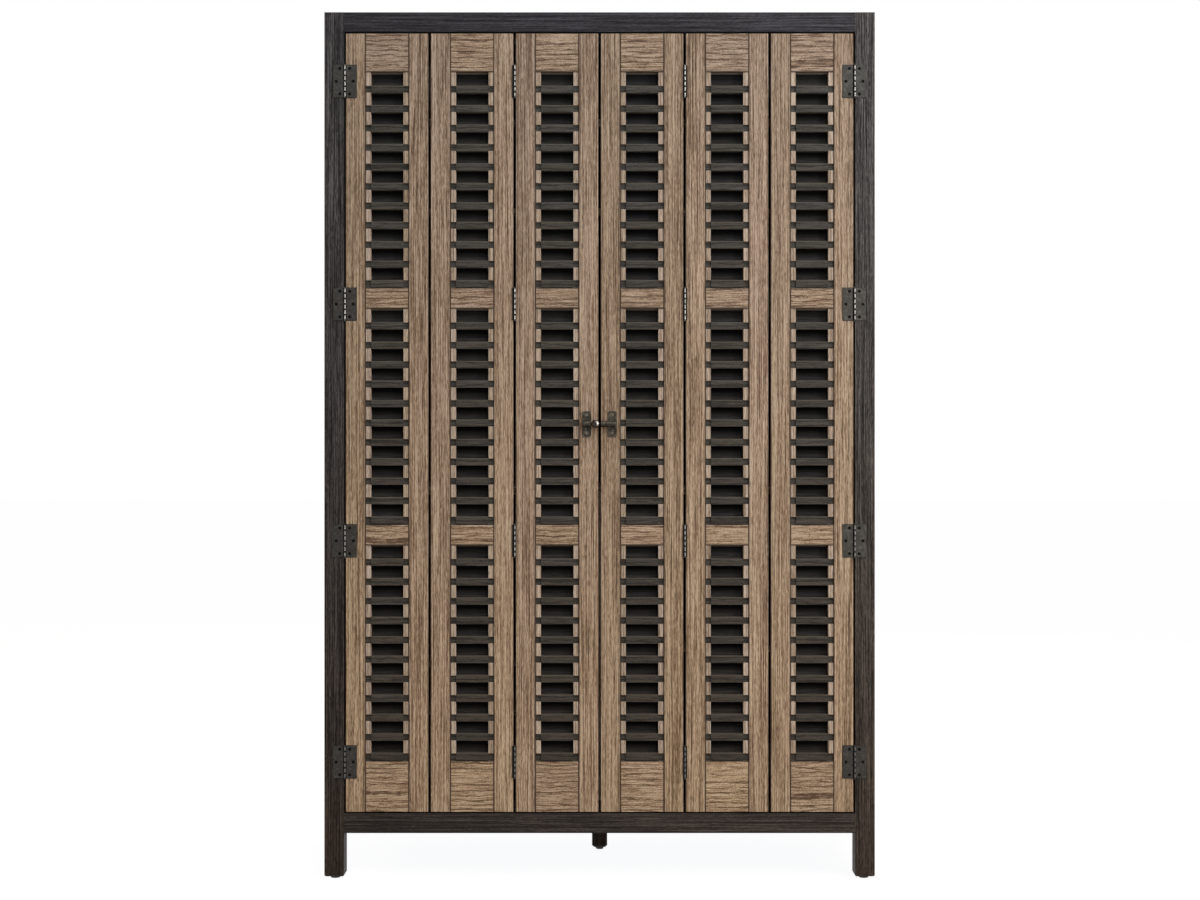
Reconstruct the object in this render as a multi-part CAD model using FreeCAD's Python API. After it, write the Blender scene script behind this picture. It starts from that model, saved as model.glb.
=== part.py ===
"""Bar armoire: a dark case on five feet, closed by two sets of three louvred leaves that fold.

Millimetres. +Z is up, the doors face -Y and +X is to the right of someone facing them.
The origin is on the floor, under the middle of the whole piece.
"""

import FreeCAD
import Part
import math
import os
from dataclasses import dataclass

# Case
WIDTH = 1290.0
DEPTH = 559.0
HEIGHT = 2032.0
POST = 46.0
POST_CHAMFER = 3.0
RAIL_HEIGHT = 46.0
CASE_RAIL = 24.0
FLOOR_GAP = 108.0
SIDE_PANEL = 10.0
BACK_PANEL = 6.0
TOP_PANEL = 18.0
FLOOR_PANEL = 18.0
TONGUE = 8.0
GROOVE = 8.0
CASE_TENON_THICK = 10.0
TENON_COVER = 4.0
JOINT_FIT = 0.3

# Feet
GLIDE_HEIGHT = 6.0
GLIDE_RADIUS = 13.0
GLIDE_TAPER = 2.0
GLIDE_STEM_RADIUS = 4.0
GLIDE_STEM = 22.0
STEM_FIT = 0.1
CENTRE_LEG = 38.0
CENTRE_LEG_CHAMFER = 6.0
CENTRE_LEG_SETBACK = 311.0
CENTRE_GLIDE_RADIUS = 11.0

# Door leaves
LEAF_THICK = 22.0
LEAF_GAP = 5.6
POST_GAP = 4.0
DOOR_GAP = 4.0
STILE = 46.0
TOP_RAIL = 89.0
MIDDLE_RAIL = 46.0
BOTTOM_RAIL = 117.0
EDGE_CHAMFER = 1.2
DOOR_TENON_THICK = 7.0
DOOR_TENON_SHOULDER = 8.0
TENON_WALL = 12.0

# Louvres
SLATS = 11
SLAT_NOSE = 17.0
SLAT_RECESS = 1.5
SLAT_NECK_SETBACK = 4.0
SLAT_NECK_INSET = 1.0
SLAT_FOOT_GAP = 3.3
SLAT_HEAD_GAP = 4.0
SLAT_FIT = 0.3
STRIP_WIDTH = 12.7
STRIP_SPINE = 3.5
HEAD_BEAD = 8.0
LOUVRE_BACK = 3.0

# Hinges
HINGE_HEIGHT = 76.0
HINGE_FROM_TOP = 112.0
HINGE_FROM_BOTTOM = 117.0
HINGE_BELOW_RAIL = 13.5
KNUCKLES = 6
KNUCKLE_GAP = 0.4
BARREL_RADIUS = 3.2
BARREL_ROOM = 0.4
PIN_RADIUS = 1.6
PIN_FIT = 0.05
PIN_HEAD_RADIUS = 2.7
PIN_HEAD = 1.3
FACE_PLATE = 2.0
FACE_PLATE_REACH = 27.0
FACE_SCREW_NEAR = 11.5
FACE_SCREW_INSET = 7.0
EDGE_PLATE = 1.8
EDGE_PLATE_REACH = 18.0
EDGE_GAIN = 0.8
GAIN_FIT = 0.2
HINGE_SCREW_INSET = 8.0

# Screws
SCREW_HEAD_RADIUS = 3.7
SCREW_HEAD = 1.5
SCREW_RADIUS = 1.5
SCREW_LENGTH = 14.0
SCREW_FIT = 0.1
RECESS_LENGTH = 3.4
RECESS_WIDTH = 0.7
RECESS_DEPTH = 0.8

# Barrel bolt at the meeting stiles
LATCH_HEIGHT = 1067.0
LATCH_SETBACK = 27.2
LATCH_PLATE_WIDTH = 20.5
LATCH_PLATE_HEIGHT = 60.0
LATCH_PLATE = 2.5
LATCH_PLATE_CORNER = 5.0
LATCH_SCREW_INSET = 8.5
LATCH_BARREL_RADIUS = 7.0
LATCH_BARREL_SINK = 1.0
LATCH_BARREL_SHORT = 1.5
BOLT_RADIUS = 4.5
BOLT_FIT = 0.1
BOLT_TAIL = 1.5
BOLT_TIP_PROUD = 1.0
BOLT_TIP_CHAMFER = 1.0
RECEIVER_BACK = 0.7
RECEIVER_FIT = 0.4
RECEIVER_DEPTH = 22.0
KNOB_RADIUS = 9.5
KNOB_BASE_RADIUS = 5.0
KNOB_STEM_RADIUS = 2.6
KNOB_CLEAR = 1.0
KNOB_LOWER = 5.0
KNOB_DOME = 6.0
KNOB_FLAT_RADIUS = 1.5
KNOB_FROM_GUIDE = 9.75
KNOB_FIT = 0.05

# Inside
SHELF = 18.0
SHELF_CLEAR = 1.0
COUNTER = 25.0
COUNTER_TOP = 925.0
UPPER_SHELF_DROP = 454.0
HIGH_SHELF_DROP = 242.0
LOW_SHELF_TOP = 545.0
PARTITION = 18.0
CLEAT_WIDTH = 16.0
CLEAT_HEIGHT = 32.0
CLEAT_END_ROOM = 4.0
SHELF_PIN_RADIUS = 2.5
SHELF_PIN_LENGTH = 12.0
SHELF_PIN_WALL = 3.0
SHELF_PIN_INSET = 45.0
SHELF_PIN_FIT = 0.05
STOP_GAP = 2.0
STOP_THICK = 16.0
STOP_LAP = 24.0
STOP_TOP_ROOM = 4.0
RACK_COLUMNS = 5
RACK_ROWS = 3
RACK_ROW_HEIGHT = 104.0
RACK_BOARD = 12.0
RACK_SETBACK = 24.0
RACK_BACK_ROOM = 150.0
RACK_SIDE_ROOM = 2.0
RACK_FIT = 0.2
STEM_RAILS = 6
STEM_PITCH = 96.0
STEM_SETBACK = 30.0
STEM_BACK_ROOM = 90.0
STEM_SPACER_WIDTH = 16.0
STEM_SPACER_HEIGHT = 20.0
STEM_FLANGE_WIDTH = 36.0
STEM_FLANGE_HEIGHT = 8.0

# Worked out from the sizes above
LATCH_AXIS = LATCH_PLATE + LATCH_BARREL_RADIUS - LATCH_BARREL_SINK
KNOB_STAND = LATCH_BARREL_RADIUS + KNOB_CLEAR
KNOB_PROUD = LATCH_AXIS + KNOB_STAND + KNOB_LOWER + KNOB_DOME
FRONT = (KNOB_PROUD - DEPTH) / 2
BACK = FRONT + DEPTH
HALF = WIDTH / 2
POST_INSIDE = HALF - POST
RAIL_INSIDE = HALF - CASE_RAIL
PANEL_PLANE = HALF - CASE_RAIL / 2
PANEL_INSIDE = PANEL_PLANE - SIDE_PANEL / 2
BACK_PLANE = BACK - CASE_RAIL / 2
BACK_INSIDE = BACK_PLANE - BACK_PANEL / 2
FLOOR_TOP = FLOOR_GAP + RAIL_HEIGHT
HEAD = HEIGHT - RAIL_HEIGHT
FRONT_RAIL = LEAF_THICK + STOP_GAP
TENON_SHOULDER = GROOVE + TENON_COVER
CASE_TENON = POST - CASE_RAIL / 2 - CASE_TENON_THICK / 2 - TENON_COVER

LEAF_WIDTH = (WIDTH - 2 * POST - 2 * POST_GAP - 5 * LEAF_GAP) / 6
LEAF_BOTTOM = FLOOR_TOP + DOOR_GAP
LEAF_TOP = HEAD - DOOR_GAP
LEAF_BACK = FRONT + LEAF_THICK
PANEL_HEIGHT = (LEAF_TOP - LEAF_BOTTOM - TOP_RAIL - 2 * MIDDLE_RAIL - BOTTOM_RAIL) / 3
LOUVRE_BACK_FRONT = LEAF_BACK - LOUVRE_BACK
SLAT_FRONT = FRONT + SLAT_RECESS
SLAT_BACK = LOUVRE_BACK_FRONT - STRIP_SPINE
SLAT_PITCH = (PANEL_HEIGHT - SLAT_FOOT_GAP - SLAT_HEAD_GAP) / SLATS
DOOR_TENON = STILE - SCREW_LENGTH - TENON_WALL
EDGE_AXIS = math.sqrt((BARREL_RADIUS + BARREL_ROOM) ** 2 - (LEAF_GAP / 2) ** 2)
HINGE_SCREW_SPREAD = HINGE_HEIGHT / 2 - HINGE_SCREW_INSET
FACE_SCREW_FAR = FACE_PLATE_REACH - FACE_SCREW_INSET
EDGE_SCREW = (BARREL_RADIUS + BARREL_ROOM + EDGE_PLATE_REACH) / 2
LATCH_SCREW_SPREAD = LATCH_PLATE_HEIGHT / 2 - LATCH_SCREW_INSET
LATCH_MIDDLE = -LEAF_GAP / 2 - LATCH_SETBACK
LATCH_Y = FRONT - LATCH_AXIS

STOP_FRONT = FRONT + FRONT_RAIL
SHELF_FRONT = STOP_FRONT + STOP_THICK + SHELF_CLEAR
SHELF_BACK = BACK_INSIDE - SHELF_CLEAR
SHELF_END = PANEL_INSIDE - SHELF_CLEAR
UPPER_SHELF_TOP = HEIGHT - UPPER_SHELF_DROP
HIGH_SHELF_TOP = HEIGHT - HIGH_SHELF_DROP

OUTER, MIDDLE, INNER = range(3)
LEAF_NAMES = ("outer", "middle", "inner")
X_AXIS = FreeCAD.Vector(1, 0, 0)
Y_AXIS = FreeCAD.Vector(0, 1, 0)
Z_AXIS = FreeCAD.Vector(0, 0, 1)


def box(x0, x1, y0, y1, z0, z1):
    """A box between two corners, given in either order along each axis."""
    low = FreeCAD.Vector(min(x0, x1), min(y0, y1), min(z0, z1))
    return Part.makeBox(abs(x1 - x0), abs(y1 - y0), abs(z1 - z0), low)


def prism(points, path):
    """A closed outline of 3-D points, extruded along a vector."""
    corners = [FreeCAD.Vector(*p) for p in points]
    return Part.Face(Part.makePolygon(corners + corners[:1])).extrude(path)


def mirrored(solids):
    """The same solids on the other side of the middle of the piece."""
    return [s.mirror(FreeCAD.Vector(0, 0, 0), X_AXIS) for s in solids]


def both_sides(solids):
    """Left-hand solids followed by their right-hand twins."""
    return solids + mirrored(solids)


def eased_board(x0, x1, z0, z1):
    """A board of a leaf, full thickness, with its four upright edges chamfered."""
    y0, y1, c = FRONT, LEAF_BACK, EDGE_CHAMFER
    outline = [(x0 + c, y0), (x1 - c, y0), (x1, y0 + c), (x1, y1 - c),
               (x1 - c, y1), (x0 + c, y1), (x0, y1 - c), (x0, y0 + c)]
    return prism([(x, y, z0) for x, y in outline], Z_AXIS * (z1 - z0))


def cut_all(solid, cutters):
    """The solid with every cutter taken away."""
    return solid.cut(cutters).Solids[0] if cutters else solid


# Screws: countersunk, with a crossed recess in the head

def screw(head, inward):
    """A screw whose head is flush at the point and which runs along the unit vector."""
    cone = Part.makeCone(SCREW_HEAD_RADIUS, SCREW_RADIUS, SCREW_HEAD, head, inward)
    shank = Part.makeCylinder(SCREW_RADIUS, SCREW_LENGTH - SCREW_HEAD, head + inward * SCREW_HEAD, inward)
    across = inward.cross(Z_AXIS)
    bars = []
    for wide, tall in ((RECESS_LENGTH, RECESS_WIDTH), (RECESS_WIDTH, RECESS_LENGTH)):
        far = head + inward * RECESS_DEPTH + across * (wide / 2) + Z_AXIS * (tall / 2)
        near = head - inward * RECESS_DEPTH - across * (wide / 2) - Z_AXIS * (tall / 2)
        bars.append(box(near.x, far.x, near.y, far.y, near.z, far.z))
    return cone.fuse(shank).cut(bars).Solids[0]


def screw_hole(head, inward):
    """The countersunk hole for one screw, a little larger than the screw all over."""
    radius = SCREW_RADIUS + SCREW_FIT
    cone = Part.makeCone(SCREW_HEAD_RADIUS + SCREW_FIT, radius, SCREW_HEAD, head, inward)
    return cone.fuse(Part.makeCylinder(radius, SCREW_LENGTH + SCREW_FIT, head, inward))


# Hinges

@dataclass(frozen=True)
class HingeWing:
    """One wing of a line of hinges: how it lies about the pin, and the wood it is screwed to.

    along points from the pin along the plate, inward from the plate into the wood.
    seat is the distance from the pin to the wood under the plate.
    """
    pin: tuple
    along: tuple
    inward: tuple
    seat: float
    thick: float
    reach: float
    screws: tuple
    first_knuckle: int

    def at(self, u, v, z):
        """The point u along the plate and v towards the wood, from the pin."""
        x = self.pin[0] + u * self.along[0] + v * self.inward[0]
        y = self.pin[1] + u * self.along[1] + v * self.inward[1]
        return FreeCAD.Vector(x, y, z)

    def block(self, u0, u1, v0, v1, z0, z1):
        """A box in the plate's own directions."""
        a, b = self.at(u0, v0, z0), self.at(u1, v1, z1)
        return box(a.x, b.x, a.y, b.y, z0, z1)

    def plate(self, middle):
        """The plate with its knuckles, pin bore and countersunk holes, centred at a height."""
        low = middle - HINGE_HEIGHT / 2
        step = HINGE_HEIGHT / KNUCKLES
        face = self.seat - self.thick
        clear = BARREL_RADIUS + BARREL_ROOM
        pieces = [self.block(clear, self.reach, face, self.seat, low, low + HINGE_HEIGHT)]
        for k in range(self.first_knuckle, KNUCKLES, 2):
            z0 = low + k * step + KNUCKLE_GAP / 2
            z1 = low + (k + 1) * step - KNUCKLE_GAP / 2
            pieces.append(Part.makeCylinder(BARREL_RADIUS, z1 - z0, self.at(0, 0, z0), Z_AXIS))
            pieces.append(self.block(0, clear, face, self.seat, z0, z1))
        bore = Part.makeCylinder(PIN_RADIUS + PIN_FIT, HINGE_HEIGHT, self.at(0, 0, low), Z_AXIS)
        body = pieces[0].multiFuse(pieces[1:]).removeSplitter()
        return cut_all(body, [bore] + self.holes(middle))

    def screw_heads(self, middle):
        """Where the screw heads lie on one hinge."""
        return [self.at(u, self.seat - self.thick, middle + dz) for u, dz in self.screws]

    def screw_set(self, middle):
        """The screws of one hinge."""
        return [screw(p, FreeCAD.Vector(*self.inward, 0)) for p in self.screw_heads(middle)]

    def holes(self, middle):
        """The screw holes of one hinge."""
        return [screw_hole(p, FreeCAD.Vector(*self.inward, 0)) for p in self.screw_heads(middle)]

    def gain(self, middle):
        """The shallow recess that lets the plate into the edge of a leaf."""
        half = HINGE_HEIGHT / 2 + GAIN_FIT
        return self.block(0, self.reach + GAIN_FIT, self.seat - EDGE_GAIN, self.seat,
                          middle - half, middle + half)


def hinge_heights():
    """Heights of the four hinges of every line, from the bottom up."""
    spans = rail_spans()
    middles = [(z0 + z1) / 2 - HINGE_BELOW_RAIL for z0, z1 in spans[1:3]]
    return [LEAF_BOTTOM + HINGE_FROM_BOTTOM] + middles + [LEAF_TOP - HINGE_FROM_TOP]


def face_wing(sign, first_knuckle):
    """A wing of the hinges between the left post and the outer leaf, on the front faces."""
    spread = HINGE_SCREW_SPREAD
    screws = ((FACE_SCREW_NEAR, spread), (FACE_SCREW_FAR, 0.0), (FACE_SCREW_NEAR, -spread))
    return HingeWing((-POST_INSIDE + POST_GAP / 2, FRONT - BARREL_RADIUS), (sign, 0), (0, 1),
                     BARREL_RADIUS, FACE_PLATE, FACE_PLATE_REACH, screws, first_knuckle)


def edge_wing(leaf, at_back, sign, first_knuckle):
    """A wing of the hinges in the gap that follows a leaf of the left-hand set."""
    x = leaf_span(leaf)[1] + LEAF_GAP / 2
    y = LEAF_BACK + EDGE_AXIS if at_back else FRONT - EDGE_AXIS
    screws = tuple((EDGE_SCREW, dz) for dz in (HINGE_SCREW_SPREAD, 0.0, -HINGE_SCREW_SPREAD))
    return HingeWing((x, y), (0, -1 if at_back else 1), (sign, 0), LEAF_GAP / 2 + EDGE_GAIN,
                     EDGE_PLATE, EDGE_PLATE_REACH, screws, first_knuckle)


def left_wings():
    """The six wings of the left-hand leaves, named by the wood they are screwed to."""
    return {
        "post": face_wing(-1, 0),
        "outer_near": face_wing(1, 1),
        "outer_far": edge_wing(OUTER, True, -1, 0),
        "middle_near": edge_wing(OUTER, True, 1, 1),
        "middle_far": edge_wing(MIDDLE, False, -1, 0),
        "inner_near": edge_wing(MIDDLE, False, 1, 1),
    }


def hinge_pin(wing, middle):
    """A pin with a flat head at each end."""
    low = middle - HINGE_HEIGHT / 2
    shaft = Part.makeCylinder(PIN_RADIUS, HINGE_HEIGHT, wing.at(0, 0, low), Z_AXIS)
    heads = [Part.makeCylinder(PIN_HEAD_RADIUS, PIN_HEAD, wing.at(0, 0, z), Z_AXIS)
             for z in (low - PIN_HEAD, low + HINGE_HEIGHT)]
    return shaft.multiFuse(heads).Solids[0]


# Door leaves, drawn for the left-hand set

def leaf_span(leaf):
    """Left and right edges of a leaf."""
    x0 = -POST_INSIDE + POST_GAP + leaf * (LEAF_WIDTH + LEAF_GAP)
    return x0, x0 + LEAF_WIDTH


def rail_spans():
    """Bottom and top of the four rails of a leaf, from the bottom up."""
    spans, z = [], LEAF_BOTTOM
    for height in (BOTTOM_RAIL, MIDDLE_RAIL, MIDDLE_RAIL, TOP_RAIL):
        spans.append((z, z + height))
        z += height + PANEL_HEIGHT
    return spans


def panel_floors():
    """Bottom of each louvred panel of a leaf."""
    return [top for bottom, top in rail_spans()[:3]]


def door_tenon(x0, x1, z0, z1, fit):
    """A tenon of a leaf's rail or, with a fit, the mortise for it."""
    middle = (FRONT + LEAF_BACK) / 2
    half = DOOR_TENON_THICK / 2 + fit
    cover = DOOR_TENON_SHOULDER - fit
    return box(x0, x1, middle - half, middle + half, z0 + cover, z1 - cover)


def leaf_frame(leaf, near_cuts, far_cuts):
    """Two stiles and four rails; the cuts are the hinge and latch recesses of each stile."""
    x0, x1 = leaf_span(leaf)
    inside = (x0 + STILE, x1 - STILE)
    near, far = list(near_cuts), list(far_cuts)
    rails = []
    for z0, z1 in rail_spans():
        rail = eased_board(*inside, z0, z1)
        tenons = door_tenon(inside[0] - DOOR_TENON, inside[1] + DOOR_TENON, z0, z1, 0)
        rails.append(rail.fuse(tenons).removeSplitter().Solids[0])
        near.append(door_tenon(inside[0] - DOOR_TENON - JOINT_FIT, inside[0], z0, z1, JOINT_FIT))
        far.append(door_tenon(inside[1], inside[1] + DOOR_TENON + JOINT_FIT, z0, z1, JOINT_FIT))
    stiles = [cut_all(eased_board(x0, inside[0], LEAF_BOTTOM, LEAF_TOP), near),
              cut_all(eased_board(inside[1], x1, LEAF_BOTTOM, LEAF_TOP), far)]
    return stiles + rails


def slat_foot(floor, k):
    """Height of the underside of a slat's nose, counted up from a panel's floor."""
    return floor + SLAT_FOOT_GAP + k * SLAT_PITCH


def neck_z(floor, k, fit):
    """Heights of a slat's neck or, with a fit, of its notch; the lowest neck stands on the rail."""
    z = slat_foot(floor, k)
    return z + SLAT_NECK_INSET - fit if k else floor, z + SLAT_NOSE - SLAT_NECK_INSET + fit


def slat(x0, x1, floor, k):
    """A slat in a panel's width, with a set-back neck at each end that sits in the strips."""
    inset = STRIP_WIDTH + SLAT_FIT
    z = slat_foot(floor, k)
    nose = box(x0 + inset, x1 - inset, SLAT_FRONT, SLAT_BACK, z, z + SLAT_NOSE)
    neck = box(x0 + SLAT_FIT, x1 - SLAT_FIT, SLAT_FRONT + SLAT_NECK_SETBACK, SLAT_BACK, *neck_z(floor, k, 0))
    return nose.fuse(neck).removeSplitter().Solids[0]


def leaf_slats(leaf):
    """The slats of a leaf's three panels, each reaching from stile to stile."""
    x0, x1 = leaf_span(leaf)
    return [slat(x0 + STILE, x1 - STILE, floor, k) for floor in panel_floors() for k in range(SLATS)]


def head_beads(leaf):
    """The beads under the rails that close the top of each panel between the strips."""
    x0, x1 = leaf_span(leaf)
    inset = STILE + STRIP_WIDTH
    y0 = LOUVRE_BACK_FRONT - HEAD_BEAD
    tops = [floor + PANEL_HEIGHT for floor in panel_floors()]
    return [box(x0 + inset, x1 - inset, y0, LOUVRE_BACK_FRONT, top - SLAT_HEAD_GAP, top) for top in tops]


def louvre_backs(leaf):
    """The thin boards that close a leaf's panels behind the slats."""
    x0, x1 = leaf_span(leaf)
    inset = STILE + SLAT_FIT
    return [box(x0 + inset, x1 - inset, LOUVRE_BACK_FRONT, LEAF_BACK, floor + SLAT_FIT,
                floor + PANEL_HEIGHT - SLAT_FIT) for floor in panel_floors()]


def leaf_strips(leaf):
    """The notched strips along the stiles that hold the slat ends, with a spine behind the slats."""
    x0, x1 = leaf_span(leaf)
    strips = []
    for floor in panel_floors():
        for edge, inward in ((x0 + STILE, 1), (x1 - STILE, -1)):
            start, end = sorted((edge, edge + inward * STRIP_WIDTH))
            strip = box(start, end, SLAT_FRONT, LOUVRE_BACK_FRONT, floor, floor + PANEL_HEIGHT)
            notches = [box(start, end, SLAT_FRONT, SLAT_BACK + SLAT_FIT, *neck_z(floor, k, SLAT_FIT))
                       for k in range(SLATS)]
            strips.append(cut_all(strip, notches))
    return strips


def hinge_cuts(wing, let_in):
    """Everything that one line of hinges takes out of the wood."""
    cuts = []
    for z in hinge_heights():
        cuts += wing.holes(z)
        if let_in:
            cuts.append(wing.gain(z))
    return cuts


def left_leaves(wings):
    """Nodes of the three left-hand leaves, without the latch."""
    cuts = {
        OUTER: (hinge_cuts(wings["outer_near"], False), hinge_cuts(wings["outer_far"], True)),
        MIDDLE: (hinge_cuts(wings["middle_near"], True), hinge_cuts(wings["middle_far"], True)),
        INNER: (hinge_cuts(wings["inner_near"], True), latch_holes()),
    }
    nodes = {}
    for leaf, name in enumerate(LEAF_NAMES):
        nodes[name + "_frame"] = leaf_frame(leaf, *cuts[leaf])
        nodes[name + "_louvres"] = leaf_slats(leaf) + head_beads(leaf) + louvre_backs(leaf)
        nodes[name + "_slat_strips"] = leaf_strips(leaf)
        own = [w for key, w in wings.items() if key.startswith(name)]
        nodes[name + "_hinge_plates"] = [w.plate(z) for w in own for z in hinge_heights()]
        nodes[name + "_screws"] = [s for w in own for z in hinge_heights() for s in w.screw_set(z)]
    nodes["outer_hinge_pins"] = [hinge_pin(wings["outer_far"], z) for z in hinge_heights()]
    nodes["middle_hinge_pins"] = [hinge_pin(wings["middle_far"], z) for z in hinge_heights()]
    nodes["inner_screws"] += [screw(p, Y_AXIS) for p in latch_screw_heads()]
    return nodes


# Barrel bolt, drawn on the left-hand inner leaf

def latch_screw_heads():
    """Where the two screw heads of a latch plate lie."""
    return [FreeCAD.Vector(LATCH_MIDDLE, FRONT - LATCH_PLATE, LATCH_HEIGHT + dz)
            for dz in (-LATCH_SCREW_SPREAD, LATCH_SCREW_SPREAD)]


def latch_holes():
    """Screw holes of a latch plate."""
    return [screw_hole(p, Y_AXIS) for p in latch_screw_heads()]


def latch_body(x0, x1, bore, bore_x0, bore_x1):
    """A round-cornered upright plate with a barrel across it, bored from one x to another."""
    wide, tall = LATCH_PLATE_WIDTH / 2, LATCH_PLATE_HEIGHT / 2
    plate = box(LATCH_MIDDLE - wide, LATCH_MIDDLE + wide, FRONT - LATCH_PLATE, FRONT,
                LATCH_HEIGHT - tall, LATCH_HEIGHT + tall)
    corners = [e for e in plate.Edges if abs(e.tangentAt(e.FirstParameter).y) > 0.9]
    plate = plate.makeFillet(LATCH_PLATE_CORNER, corners)
    start = FreeCAD.Vector(x0, LATCH_Y, LATCH_HEIGHT)
    barrel = Part.makeCylinder(LATCH_BARREL_RADIUS, x1 - x0, start, X_AXIS)
    hole = Part.makeCylinder(bore, bore_x1 - bore_x0, FreeCAD.Vector(bore_x0, LATCH_Y, LATCH_HEIGHT), X_AXIS)
    wood = box(x0, x1, FRONT, FRONT + LATCH_BARREL_RADIUS, LATCH_HEIGHT - tall, LATCH_HEIGHT + tall)
    return cut_all(plate.fuse(barrel), [hole, wood] + latch_holes())


def latch_parts():
    """Guide plate, bolt, knob and receiver; the receiver is drawn on the left and mirrored."""
    plate_left = LATCH_MIDDLE - LATCH_PLATE_WIDTH / 2
    plate_right = LATCH_MIDDLE + LATCH_PLATE_WIDTH / 2
    guide_left = plate_left + LATCH_BARREL_SHORT
    guide = latch_body(guide_left, plate_right, BOLT_RADIUS + BOLT_FIT, guide_left, plate_right)
    mouth = -LEAF_GAP / 2 - RECEIVER_BACK
    receiver = latch_body(guide_left, mouth, BOLT_RADIUS + RECEIVER_FIT, mouth - RECEIVER_DEPTH, mouth)

    tail, tip = guide_left - BOLT_TAIL, -LEAF_GAP / 2 + BOLT_TIP_PROUD
    body = tip - tail - BOLT_TIP_CHAMFER
    bolt = Part.makeCylinder(BOLT_RADIUS, body, FreeCAD.Vector(tail, LATCH_Y, LATCH_HEIGHT), X_AXIS)
    nose = Part.makeCone(BOLT_RADIUS, BOLT_RADIUS - BOLT_TIP_CHAMFER, BOLT_TIP_CHAMFER,
                         FreeCAD.Vector(tail + body, LATCH_Y, LATCH_HEIGHT), X_AXIS)
    knob_foot = FreeCAD.Vector(plate_right + KNOB_FROM_GUIDE, LATCH_Y, LATCH_HEIGHT)
    socket = Part.makeCylinder(KNOB_STEM_RADIUS + KNOB_FIT, KNOB_STAND, knob_foot, -Y_AXIS)
    return {
        "latch_guide": [guide],
        "latch_bolt": [cut_all(bolt.fuse(nose), [socket])],
        "latch_knob": [latch_knob(knob_foot)],
        "latch_receiver": mirrored([receiver]),
    }


def latch_knob(foot):
    """A domed round knob on a stem that is seated in the bolt, standing towards the viewer."""
    bend = math.sqrt(0.5)
    waist = KNOB_STAND + KNOB_LOWER
    lip, crown = KNOB_RADIUS - KNOB_BASE_RADIUS, KNOB_RADIUS - KNOB_FLAT_RADIUS
    top = waist + KNOB_DOME

    def at(r, h):
        return foot + FreeCAD.Vector(r, -h, 0)

    lower = Part.Arc(at(KNOB_BASE_RADIUS, KNOB_STAND),
                     at(KNOB_BASE_RADIUS + lip * bend, waist - KNOB_LOWER * bend), at(KNOB_RADIUS, waist))
    dome = Part.Arc(at(KNOB_RADIUS, waist), at(KNOB_FLAT_RADIUS + crown * bend, waist + KNOB_DOME * bend),
                    at(KNOB_FLAT_RADIUS, top))
    stem = Part.makePolygon([at(KNOB_FLAT_RADIUS, top), at(0, top), at(0, 0), at(KNOB_STEM_RADIUS, 0),
                             at(KNOB_STEM_RADIUS, KNOB_STAND), at(KNOB_BASE_RADIUS, KNOB_STAND)])
    outline = Part.Wire(stem.Edges + [lower.toShape(), dome.toShape()])
    return Part.Face(outline).revolve(foot, Y_AXIS, 360).Solids[0]


# Case

def case_tenon_z(z0, fit):
    """Bottom and top of the tenon of a case rail that starts at a height."""
    return z0 + TENON_SHOULDER - fit, z0 + RAIL_HEIGHT - TENON_SHOULDER + fit


def rail_levels():
    """Bottoms of the lower and the upper case rails."""
    return FLOOR_GAP, HEAD


def tongue_groove_z(z0):
    """The groove in the inner face of a case rail for the floor or top panel's tongue."""
    low = FLOOR_TOP - FLOOR_PANEL if z0 == FLOOR_GAP else HEIGHT - TOP_PANEL
    return low, low + TONGUE + JOINT_FIT


def panel_groove_z(z0):
    """The groove in the inner edge of a case rail for a side or back panel."""
    return (FLOOR_TOP - GROOVE, FLOOR_TOP) if z0 == FLOOR_GAP else (HEAD, HEAD + GROOVE)


def cross_tenon(z0, y0, y1, x_end, fit):
    """Tenon bar of a front or back rail, out to an x on both sides or, with a fit, its mortise."""
    middle, half = (y0 + y1) / 2, CASE_TENON_THICK / 2 + fit
    return box(-x_end, x_end, middle - half, middle + half, *case_tenon_z(z0, fit))


def front_rails():
    """The rails over and under the doors."""
    rails = []
    y1 = FRONT + FRONT_RAIL
    for z0 in rail_levels():
        rail = box(-POST_INSIDE, POST_INSIDE, FRONT, y1, z0, z0 + RAIL_HEIGHT)
        rail = rail.fuse(cross_tenon(z0, FRONT, y1, POST_INSIDE + CASE_TENON, 0)).removeSplitter()
        groove = box(-POST_INSIDE, POST_INSIDE, y1 - GROOVE, y1, *tongue_groove_z(z0))
        rails.append(cut_all(rail, [groove]))
    return rails


def back_rails():
    """The rails over and under the back panel."""
    rails = []
    y0 = BACK - CASE_RAIL
    half = BACK_PANEL / 2 + JOINT_FIT
    for z0 in rail_levels():
        rail = box(-POST_INSIDE, POST_INSIDE, y0, BACK, z0, z0 + RAIL_HEIGHT)
        rail = rail.fuse(cross_tenon(z0, y0, BACK, POST_INSIDE + CASE_TENON, 0)).removeSplitter()
        tongue = box(-POST_INSIDE, POST_INSIDE, y0, y0 + GROOVE, *tongue_groove_z(z0))
        panel = box(-POST_INSIDE, POST_INSIDE, BACK_PLANE - half, BACK_PLANE + half, *panel_groove_z(z0))
        rails.append(cut_all(rail, [tongue, panel]))
    return rails


def side_tenon(z0, y0, y1, fit):
    """Tenon bar of a left side rail between two depths or, with a fit, its mortise."""
    half = CASE_TENON_THICK / 2 + fit
    return box(-PANEL_PLANE - half, -PANEL_PLANE + half, y0, y1, *case_tenon_z(z0, fit))


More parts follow.
